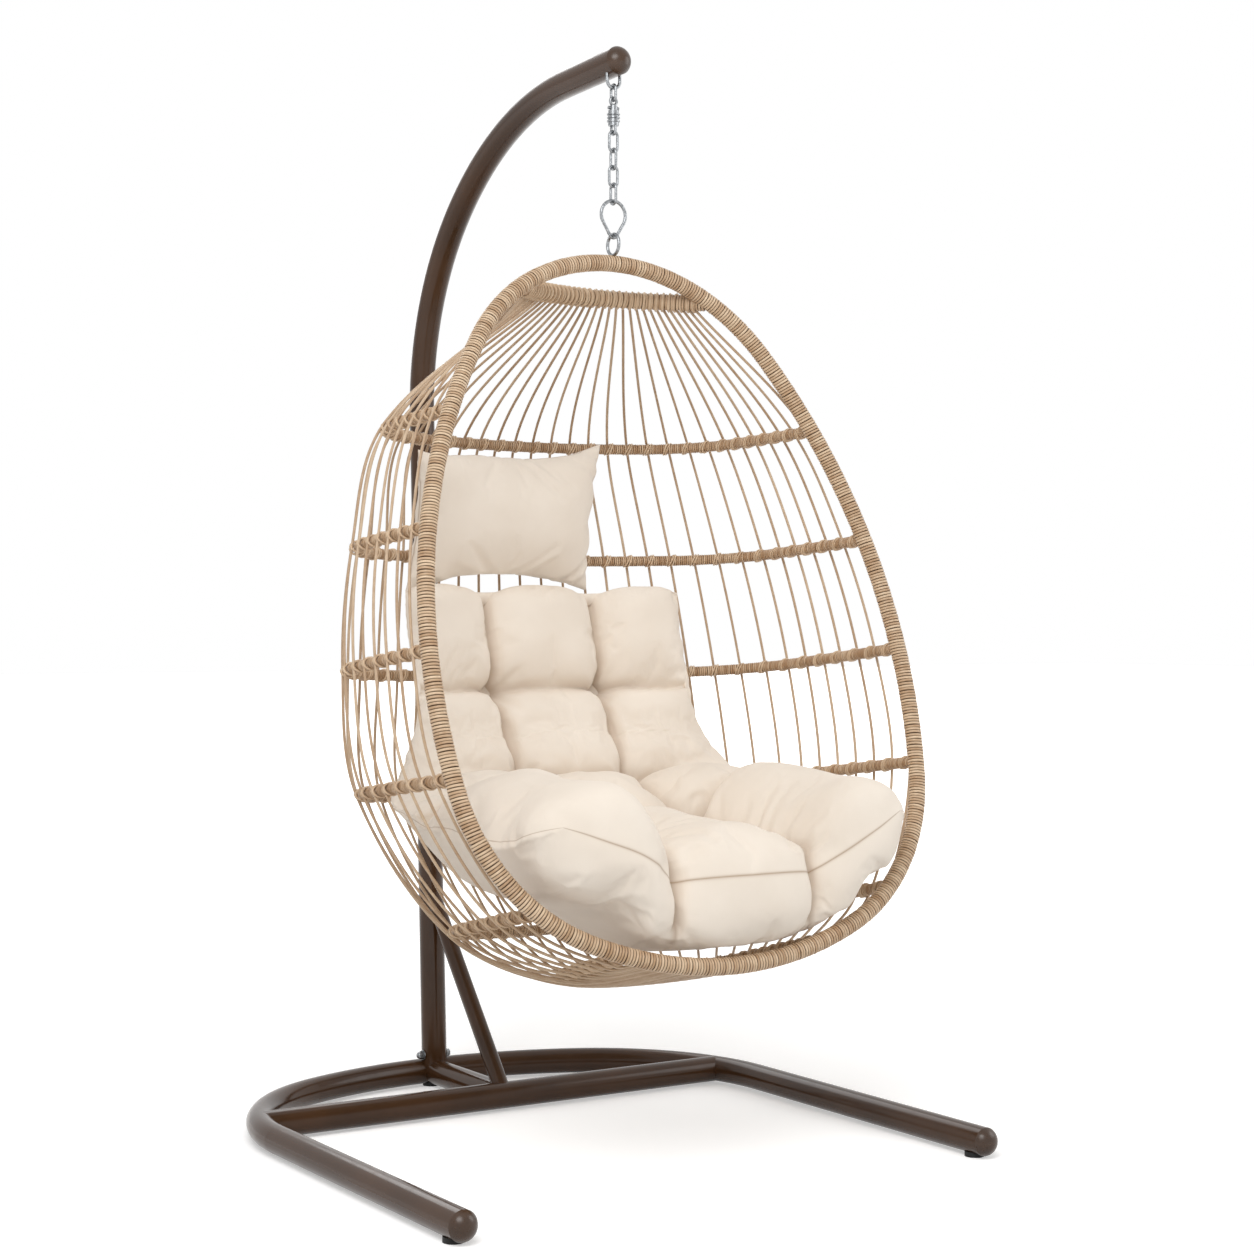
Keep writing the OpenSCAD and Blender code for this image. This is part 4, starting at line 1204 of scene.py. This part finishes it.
@dataclass
class SeatCushion(Pad):
    """The long tufted cushion, from its top edge down the back and over the seat.

    Its rings and columns of points follow the rows of tufts and the lengthwise seams. s is a
    place along it, from 0 at the top edge to 1 at the front; u across and v up the section
    run from -1 to 1. Sizes are in millimetres. The form lies inset within the CAD solid. The
    section's points are even at even_half, and its seam columns are picked at pick_half.
    Cuts are depths with widths.
    """

    line: tuple = ((247, 988, 60), (240, 915, 85), (216, 812, 92), (198, 702, 124),
                   (112, 592, 168), (-20, 514, 212), (-150, 490, 228), (-280, 494, 226),
                   (-378, 519, 196))
    hang_y: float = Basket.hang_y
    rows: tuple = (0.25, 0.45, 0.62)
    top_cap: float = 0.035
    front_cap: float = 0.94
    front_power: float = 2.7
    sides: int = 260
    ring_step: float = 6.2
    inset: float = 10.0
    width: float = 600.0
    widening: float = 210.0
    seam_x: float = 112.0
    seam_shift: float = 48.0
    side_rise: float = 105.0
    edge_rise: float = 95.0
    row_bend: float = 0.035
    row_reach: float = 190.0
    edge_thin: float = 0.34
    wing_back: float = 42.0
    top_shift: float = 14.0
    crown_rise: float = 13.0
    seam_cuts: tuple = ((16, 11), (12, 38))
    row_cuts: tuple = ((18, 9), (18, 34))
    tuft_cut: tuple = (26, 24)
    fan_rise: float = 4.5
    wave_rise: float = 4.0
    loose_hold: float = 0.35
    even_half: tuple = (400.0, 95.0)
    pick_half: float = 380.0
    pick_x: tuple = (-112.0, 130.0)

    def __post_init__(self) -> None:
        """Draws the middle line and measures it."""
        self.path = smooth_curve(np.array(self.line, float), 40)
        steps = np.linalg.norm(np.diff(self.path[:, :2], axis=0), axis=1)
        self.run = np.concatenate([[0.0], np.cumsum(steps)])

    # The form, from the same values as the CAD solid

    def _middle(self, s: Array) -> Array:
        """The middle line's points at s: back, up and thickness.

        Args:
            s: The points' places along the cushion.

        Returns:
            One row of three values for each place.
        """
        at = np.clip(s, 0.0, 1.0) * (len(self.path) - 1)
        i = np.minimum(at.astype(int), len(self.path) - 2)
        return self.path[i] + (self.path[i + 1] - self.path[i]) * (at - i)[..., None]

    def _length(self, s: Array) -> Array:
        """Distance along the middle line."""
        return np.interp(s, np.linspace(0, 1, len(self.run)), self.run)

    def _half(self, s: Array) -> Array:
        """Half of the width, with the front corners rounded.

        Args:
            s: The points' places along the cushion.

        Returns:
            The half widths in millimetres.
        """
        corner = 1 - 0.12 * np.clip((s - 0.88) / 0.12, 0, 1) ** 4
        full = self.width + self.widening * ramp(s, 0.3, 0.62)
        return full / 2 * (1 - 0.045 * ramp(s, 0.76, 0.88)) * corner

    def _seam(self, s: Array, side: int) -> Array:
        """Where the lengthwise seam of one side lies; the +X one moves outwards in front."""
        return side * self.seam_x + (self.seam_shift * ramp(s, 0.45, 1.0) if side > 0 else 0 * s)

    def _lobe(self, s: Array, x: Array, u: Array, v: Array) -> Array:
        """Rise of the seat's sides: a step outside the seams on top, a slope at the edge.

        Args:
            s: The points' places along the cushion.
            x: Their places across the cushion, in millimetres.
            u: Their places across the section, from -1 to 1.
            v: Their heights on the section, from -1 to 1.

        Returns:
            The rise in millimetres.
        """
        seam = np.where(x > 0, self._seam(s, 1), self.seam_x)
        beyond = np.abs(x) - seam
        step = self.side_rise * ramp(beyond, -25, 125)
        under = ramp(s, 0.35, 0.65) * np.maximum(self.side_rise * u ** 4, step - 50)
        top = step * ramp(s, 0.4, 0.76) * (1 - 0.1 * ramp(s, 0.7, 0.9))
        slope = self.edge_rise * np.clip(beyond / (self._half(s) - seam), 0, 1)
        share = ramp(s, 0.7, 0.92)
        edge = (top + under) / 2 * (1 - share) + slope * share
        return np.where(v > 0, edge + (top - edge) * ramp(v, 0.0, 0.6),
                        edge + (under - edge) * ramp(-v, 0.0, 0.6))

    def _rings(self) -> Array:
        """Places of the rings along the cushion, close together at both ends.

        Returns:
            The places, from 0 at the top to 1 in front.
        """
        first = self.top_cap * (1 - np.cos(pi / 2 * (np.arange(8) / 8)))
        turn = pi / 2 * np.arange(1, 19) / 18
        last = self.front_cap + (1 - self.front_cap) * np.sin(turn)
        marks = [self.top_cap, *self.rows, self.front_cap]
        middle = []
        for a, b in zip(marks[:-1], marks[1:]):
            count = int(round((self._length(b) - self._length(a)) / self.ring_step))
            middle.extend(np.linspace(a, b, count, endpoint=False))
        return np.concatenate([first, middle, [self.front_cap], last])

    def _section(self) -> tuple[Array, Array]:
        """The rounded section's evenly spaced points: across and up, each from -1 to 1.

        Returns:
            Both coordinates of the points, as u and v.
        """
        angle = np.linspace(0, 2 * pi, 4001)
        u, v = (np.sign(a) * np.abs(a) ** 0.7 for a in (np.cos(angle), np.sin(angle)))
        wide, high = self.even_half
        gone = np.concatenate([[0], np.cumsum(np.hypot(np.diff(u) * wide, np.diff(v) * high))])
        at = np.linspace(0, gone[-1], self.sides, endpoint=False)
        return np.interp(at, gone, u), np.interp(at, gone, v)

    def _surface(self, s: Array, u: Array, v: Array, x: Array) -> Array:
        """The plain form's points, before creases and crowns.

        Args:
            s: The points' places along the cushion.
            u: Their places across the section, from -1 to 1.
            v: Their heights on the section, from -1 to 1.
            x: Their places across the cushion, in millimetres.

        Returns:
            The points in millimetres.
        """
        m, t, f = self._middle(s), self._middle(s + 0.01), self._middle(s - 0.01)
        dy, dz = t[..., 0] - f[..., 0], t[..., 1] - f[..., 1]
        size = np.hypot(dy, dz)
        near = np.clip((s - self.front_cap) / (1 - self.front_cap), 0, 1)
        far = np.clip((self.top_cap - s) / self.top_cap, 0, 1)
        cap = (1 - near ** self.front_power) ** (1 / self.front_power)
        cap = np.where(s < self.top_cap, np.sqrt(1 - far ** 2), cap)
        thick = (m[..., 2] / 2 * (1 - self.edge_thin * u * u) - self.inset) * cap
        thick = np.where(v > 0, thick * (1 - 0.25 * ramp(s, 0.55, 0.85)), thick)
        wings = self.wing_back * u * u * (1 - ramp(s, 0.35, 0.65))
        return np.stack([x - self.top_shift * (1 - ramp(s, 0.0, 0.5)),
                         self.hang_y + m[..., 0] - wings + thick * v * dz / size,
                         m[..., 1] + self._lobe(s, x, u, v * cap) - thick * v * dy / size], -1)

    def _normals(self, grid: Array) -> Array:
        """Outward normals of the rings' surface, evened out over both end rings' folds.

        Args:
            grid: The surface's points by ring and column.

        Returns:
            A unit vector for each point.
        """
        around = np.roll(grid, -1, axis=1) - np.roll(grid, 1, axis=1)
        n = np.cross(around, np.gradient(grid, axis=0))
        n /= np.maximum(np.linalg.norm(n, axis=-1, keepdims=True), TINY)
        if ((grid - grid.mean(axis=1, keepdims=True)) * n).sum(-1).mean() <= 0:
            n = -n
        over = [self._mirror(j) for j in range(self.sides)]
        for end in (0, -1):
            both = n[end] + n[end][over]
            n[end] = both / np.maximum(np.linalg.norm(both, axis=1, keepdims=True), TINY)
        return n

    # Creases, crowns and folds over the form

    def _distances(self, s: Array, x: Array) -> tuple[Array, ...]:
        """Run along the cushion, and distances to the rows, the seams and the tufts.

        Args:
            s: The points' places along the cushion.
            x: Their places across the cushion, in millimetres.

        Returns:
            The run and the three distances in millimetres.
        """
        run = self._length(s)
        across = np.min([np.abs(run - self._length(row)) for row in self.rows], axis=0)
        along = np.min([np.abs(x - self._seam(s, side)) for side in (-1, 1)], axis=0)
        return run, across, along, np.hypot(across, along)

    def _depth(self, s: Array, x: Array, v: Array) -> Array:
        """Height over the plain form: crowns between the seams, creases on them.

        Args:
            s: The points' places along the cushion.
            x: Their places across the cushion, in millimetres.
            v: Their heights on the section, from -1 to 1.

        Returns:
            The height in millimetres.
        """
        near = (s - self.front_cap) / (1 - self.front_cap)
        front = ramp(near, 0.1, 0.6)
        face = np.where(v >= 0, np.maximum(ramp(v, 0.0, 0.35), front), front)
        _, across, along, tuft = self._distances(s, x)
        sides = 1 - ramp(np.abs(x), self._half(s) - 60, self._half(s))
        crown = (self.crown_rise * np.minimum(1, along / 90) ** 0.6
                 * np.minimum(1, across / 80) ** 0.5 * sides)
        seam = sum(depth * bell(along, width) for depth, width in self.seam_cuts)
        row = sum(depth * bell(across, width) for depth, width in self.row_cuts)
        tuft = self.tuft_cut[0] * bell(tuft, self.tuft_cut[1])
        cut = seam + row * (0.5 + 0.5 * sides) + tuft
        return (crown - cut + self._folds(s, x)) * face

    def _folds(self, s: Array, x: Array) -> Array:
        """Folds that fan out from the tufts, and short ones across the seams in front.

        Args:
            s: The points' places along the cushion.
            x: Their places across the cushion, in millimetres.

        Returns:
            The folds' height in millimetres.
        """
        run, _, along, tuft = self._distances(s, x)
        fan = 0 * s
        for k, row in enumerate(self.rows):
            for side in (-1, 1):
                up, out = run - self._length(row), x - self._seam(s, side)
                turn = np.arctan2(up, out)
                fan += (np.cos(5 * turn + k + side) + 0.7 * np.cos(9 * turn + 2 * k - side)) * (
                    np.hypot(up, out) < tuft + 1e-6)
        near = ramp(tuft, 8, 30) * np.exp(-tuft / 48)
        waves = np.sin(run / 7.5 + 1.7 * np.sin(run / 31) + x / 40)
        front = ramp(s, 0.66, 0.76) * ramp(along, 4, 16) * np.exp(-along / 26)
        return self.fan_rise * fan * near + self.wave_rise * waves * front

    def _crease_shade(self, s: Array, x: Array, v: Array) -> Array:
        """How much painted shade each point gets in a crease, from 0 to 1.

        Args:
            s: The points' places along the cushion.
            x: Their places across the cushion, in millimetres.
            v: Their heights on the section, from -1 to 1.

        Returns:
            A value for each point.
        """
        _, across, along, tuft = self._distances(s, x)
        deep = np.maximum(bell(along, 7), 0.8 * bell(across, 7) * bell(tuft, 110))
        shown = np.where((v > 0) | (s > 0.93), 1.0, 0.0)
        return np.maximum(deep * 0.75, bell(tuft, 16)) * shown

    # The mesh

    def _mirror(self, j: int) -> int:
        """The column under column j."""
        return (self.sides - j) % self.sides

    def _number(self, i: int, j: int, last: int) -> int:
        """The vertex at ring i and column j; both end rings are folded shut."""
        j %= self.sides
        return i * self.sides + (self._mirror(j) if i in (0, last) and j > self.sides // 2 else j)

    def _pins(self, s: Array, v: Array, rings: Sequence[int], columns: Sequence[int]) -> Array:
        """How firmly each point is held: the seams, the tufts, the bend and the underside.

        Args:
            s: The points' places along the cushion.
            v: Their heights on the section.
            rings: The rings on the rows of tufts.
            columns: The columns on the seams.

        Returns:
            A value from 0 to 1 for each point.
        """
        held = np.where(v < -0.15, 1.0, 0.0) * np.where(s > 0.9, 0.0, 1.0)
        for j in columns:
            held[:, j] = 1.0
            for beside in (j - 1, j + 1):
                held[:, beside] = np.maximum(held[:, beside], self.loose_hold)
            held[s[:, self._mirror(j)] > 0.9, self._mirror(j)] = 1.0
        for i in rings:
            top = v[i] > 0.1
            held[i, top] = np.maximum(held[i, top], 0.6)
            for j in columns:
                held[i - 1:i + 2, j - 1:j + 2] = 1.0
        held[:2] = 1.0
        return np.maximum(held, self.loose_hold * bell(s - 0.355, 0.045) * (v > 0))

    def build(self) -> None:
        """Makes the cushion; its points slide so that columns lie on seams and rows bend."""
        ring = self._rings()
        u0, v0 = self._section()
        columns = [int(np.argmin(np.where(v0 > 0, np.abs(u0 * self.pick_half - x), np.inf)))
                   for x in self.pick_x]
        rings = [int(np.argmin(np.abs(ring - row))) for row in self.rows]
        s, _ = np.meshgrid(ring, u0, indexing="ij")
        v = np.broadcast_to(v0, s.shape)
        half = self._half(s) - self.inset
        known = np.stack([-np.ones_like(ring), self._seam(ring, -1) / half[:, 0],
                          self._seam(ring, 1) / half[:, 0], np.ones_like(ring)], 1)
        u = np.array([np.interp(u0, [-1, *(u0[j] for j in columns), 1], to) for to in known])
        x = half * u
        out = np.clip((np.abs(x) - self.seam_x) / self.row_reach, 0, 1.4)
        s = s - self.row_bend * out ** 1.6 * ramp(s, 0.05, 0.25) * (1 - ramp(s, 0.62, 0.85))
        points = self._surface(s, u, v, x)
        points = points + self._normals(points) * self._depth(s, x, v)[..., None]
        last = len(points) - 1
        faces = [[self._number(i + a, j + b, last) for a, b in ((0, 0), (0, 1), (1, 1), (1, 0))]
                 for i in range(last) for j in range(self.sides)]
        # The seam lines are dented and darkened with painted shade in the fabric; crease holds the
        # painted shade of the creases.
        seam = np.zeros_like(s)
        seam[-1] = seam[:, 0] = seam[:, self.sides // 2] = 1.0
        piece = closed_mesh("seat_pad", points.reshape(-1, 3) * MM, faces,
                            held=self._pins(s, v, rings, columns).ravel(), seam=seam.ravel(),
                            crease=self._crease_shade(s, x, v).ravel())
        self.stuff(piece, "seat_cushion", cap=0.026, slack=0.05)


@dataclass
class HeadPillow(Pad):
    """The pillow at head height, with its corners left out as ears; sizes in millimetres."""

    centre: tuple = (-80.0, 75.8, 1126.0)
    size: tuple = (410.0, 96.0, 274.0)
    lean: float = 9.0
    yaw: float = 6.0
    cells: tuple = (66, 44)

    def _points(self, side: int) -> Array:
        """The face of one side of the pillow on a grid, before it is turned.

        Args:
            side: 1 for the front face and -1 for the rear one.

        Returns:
            The points in millimetres, by cell across and up.
        """
        w, t, h = self.size
        u, v = np.meshgrid(*(np.linspace(-1, 1, n + 1) for n in self.cells), indexing="ij")
        x = u * (1 - 0.07 * (1 - v * v))
        top = 1 - 0.2 * (1 - u * u) - 0.16 * ramp(-u, 0.2, 1.0) + 0.06 * ramp(u, 0.6, 1.0)
        low = 1 - 0.2 * (1 - u * u) + 0.06 * ramp(-u, 0.4, 1.0)
        z = np.where(v > 0, v * top, v * low)
        puff = np.maximum(0.0, (1 - u * u) * (1 - v * v)) ** 0.45
        edge = np.minimum(w / 2 * (1 - np.abs(u)), h / 2 * (1 - np.abs(v)))
        along = w / 2 * u + h / 2 * v * np.sign(u * v)
        folds = (np.sin(along / 8.5 + 1.3 * np.sin(along / 23)) * np.exp(-edge / 26)
                 * ramp(edge, 0, 10))
        return np.stack([w / 2 * x, -side * (t / 2 * puff + 2.6 * folds), h / 2 * z], -1)

    def build(self) -> None:
        """Makes the pillow as two faces that share their border."""
        columns, rows = (n + 1 for n in self.cells)
        points = np.concatenate([self._points(side).reshape(-1, 3) for side in (1, -1)])
        edge = [i in (0, columns - 1) or j in (0, rows - 1)
                for i in range(columns) for j in range(rows)]
        back = [n if edge[n] else n + columns * rows for n in range(columns * rows)]
        faces = []
        for i in range(columns - 1):
            for j in range(rows - 1):
                a = i * rows + j
                face = [a, a + rows, a + rows + 1, a + 1]
                faces += [face, [back[n] for n in reversed(face)]]
        turn = Matrix.Rotation(radians(self.yaw), 3, "Z") @ Matrix.Rotation(
            radians(self.lean), 3, "X")
        on_edge = np.array(edge * 2, float)
        # The border is a seam line, which the fabric dents and darkens with painted shade.
        piece = closed_mesh("pillow_pad", (points @ np.array(turn).T + self.centre) * MM, faces,
                            held=0.5 * on_edge, seam=on_edge)
        self.stuff(piece, "head_pillow", cap=0.014, slack=0.04)


@dataclass
class PillowLoops:
    """The fabric loops that hold the pillow to the second hoop."""

    material: Material
    node: Thing

    def build(self) -> None:
        """Stands a soft copy of the loops in for the plain ones."""
        piece = linked("tie_loops", self.node.data.copy())
        piece.data.transform(self.node.matrix_world)
        outward(piece, joined=1e-6)
        piece.data.materials.clear()
        smooth(piece)
        dress(piece, "basket", "cream_fabric", self.material, "pillow_loops")


# ---------- CAD nodes ----------


def finish_nodes(nodes: dict[str, Thing], record: dict, palette: Palette) -> None:
    """Gives every CAD node the material of its slot.

    Args:
        nodes: The CAD nodes by name.
        record: The part's record, which names each node's slot.
        palette: The materials.
    """
    finishes = {f.name: f for f in (BRONZE, CAP, BLACK, ZINC, STEEL, WICKER, CREAM)}
    slots = {part["node"]: part["material_slot"] for part in record["subparts"]}
    for name, node in nodes.items():
        node.data.materials.clear()
        node.data.materials.append(palette.get(finishes[slots.get(name, BRONZE.name)]))


# ---------- Studio ----------


@dataclass(frozen=True)
class Lamp:
    """A round lamp: its place, its aim, its width and its power in watts."""

    name: str
    place: Triple
    aim: Triple
    size: float
    watts: float


@dataclass
class Studio:
    """The floor, the backdrop, the lamps and the camera, in metres and degrees."""

    eye: tuple = (-2.1231, -3.5234, 0.9197)
    yaw: float = 32.68
    pitch: float = 0.05
    roll: float = 0.07
    lens: float = 64.70
    floor_half: float = 40.0
    sensor: float = 36.0
    farthest: float = 100.0
    soft: tuple = (1.0, 0.985, 0.965, 1.0)
    soft_strength: float = 0.62
    floor_tones: tuple = (0.86, 0.83)
    glow_least: float = 0.36
    glow_from: float = 1.3
    glow_full: float = 5.5
    white: tuple = (1.0, 1.0, 1.0, 1.0)
    lamps: tuple = (Lamp("key", (-2.2, -2.6, 3.4), (0.0, 0.0, 0.9), 2.6, 84.0),
                    Lamp("fill", (3.2, -1.8, 2.2), (0.0, 0.0, 0.8), 2.4, 30.0),
                    Lamp("rear", (0.6, 3.2, 2.8), (0.0, 0.0, 1.0), 2.2, 24.0))

    def build(self) -> None:
        """Makes the whole studio."""
        bpy.context.scene.view_settings.view_transform = "Standard"
        self._world()
        self._floor()
        for lamp in self.lamps:
            self._lamp(lamp)
        self._camera()

    @staticmethod
    def _split(maker: Nodes, lit: Socket, seen: Socket) -> Socket:
        """One surface as light, and another as the camera and mirrors see it.

        Args:
            maker: The tree's maker.
            lit: The surface that lights the scene.
            seen: The surface that is seen, reflected or seen through glass.

        Returns:
            The mixed surface.
        """
        rays = maker.add("ShaderNodeLightPath").outputs
        either = maker.maths("MAXIMUM", rays["Is Camera Ray"], rays["Is Glossy Ray"])
        factor = maker.maths("MAXIMUM", either, rays["Is Transmission Ray"])
        return maker.add("ShaderNodeMixShader", i_0=factor, i_1=lit, i_2=seen).outputs[0]

    def _world(self) -> None:
        """A white backdrop, which lights the scene more softly and warmly."""
        world = bpy.data.worlds.new("studio")
        world.use_nodes = True
        bpy.context.scene.world = world
        world.node_tree.nodes.clear()
        maker = Nodes(world.node_tree)
        lit, seen = (maker.add("ShaderNodeBackground", Color=colour, Strength=strength).outputs[0]
                     for colour, strength in ((self.soft, self.soft_strength), (self.white, 1.0)))
        maker.add("ShaderNodeOutputWorld", Surface=self._split(maker, lit, seen))

    def _floor(self) -> None:
        """A matt floor that glows more with distance, so that it melts into the backdrop."""
        size = self.floor_half
        corners = [(-size, -size, 0), (size, -size, 0), (size, size, 0), (-size, size, 0)]
        floor = mesh_object("studio_floor", np.array(corners), [(0, 1, 2, 3)])
        s = Shader("studio_floor")
        tone = s.mix(s.spread(s.noise(0.6), 0.0, 1.0), *((g, g, g, 1) for g in self.floor_tones))
        matt = s.add("ShaderNodeBsdfDiffuse", Color=tone, Roughness=0.9).outputs[0]
        far = s.add("ShaderNodeVectorMath", {"operation": "LENGTH"}, i_0=s.place())
        level = s.spread(far.outputs["Value"], self.glow_least, 1.0, self.glow_from,
                         self.glow_full)
        glow = s.add("ShaderNodeEmission", Color=self.white, Strength=level).outputs[0]
        none = s.add("ShaderNodeEmission", Color=(0, 0, 0, 1), Strength=0.0).outputs[0]
        both = s.add("ShaderNodeAddShader", i_0=matt, i_1=self._split(s, none, glow))
        floor.data.materials.append(s.finish(both.outputs[0]))

    @staticmethod
    def _lamp(lamp: Lamp) -> None:
        """Hangs a lamp.

        Args:
            lamp: The lamp's size, power, place and aim.
        """
        light = bpy.data.lights.new(lamp.name, "AREA")
        light.shape = "DISK"
        light.size = lamp.size
        light.energy = lamp.watts
        made = linked(lamp.name, light)
        made.location = lamp.place
        aim = Vector(lamp.aim) - Vector(lamp.place)
        made.rotation_euler = aim.to_track_quat("-Z", "Y").to_euler()

    def _camera(self) -> None:
        """Sets the camera up."""
        data = bpy.data.cameras.new("camera")
        data.lens = self.lens
        data.sensor_width = self.sensor
        data.clip_end = self.farthest
        camera = linked("camera", data)
        yaw, pitch, roll = (radians(a) for a in (self.yaw, self.pitch, self.roll))
        forward = Vector((sin(yaw) * cos(pitch), cos(yaw) * cos(pitch), sin(pitch)))
        right = Vector((cos(yaw), -sin(yaw), 0.0))
        tilted = right * cos(roll) + right.cross(forward) * sin(roll)
        turn = Matrix((tilted, tilted.cross(forward), -forward)).transposed().to_4x4()
        camera.matrix_world = Matrix.Translation(self.eye) @ turn
        bpy.context.scene.camera = camera


# ---------- Main ----------


def main() -> None:
    """Loads the frame and dresses it."""
    logging.basicConfig(level=logging.INFO, format="%(name)s %(message)s")
    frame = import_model()
    nodes = frame["nodes"]
    palette = Palette()
    Studio().build()
    finish_nodes(nodes, frame["record"], palette)
    WickerWork(Basket(), palette.get(WICKER)).build()
    cream = palette.get(CREAM)
    SeatCushion(cream).build()
    HeadPillow(cream).build()
    PillowLoops(cream, nodes["pillow_loops"]).build()


if __name__ == "__main__":
    main()
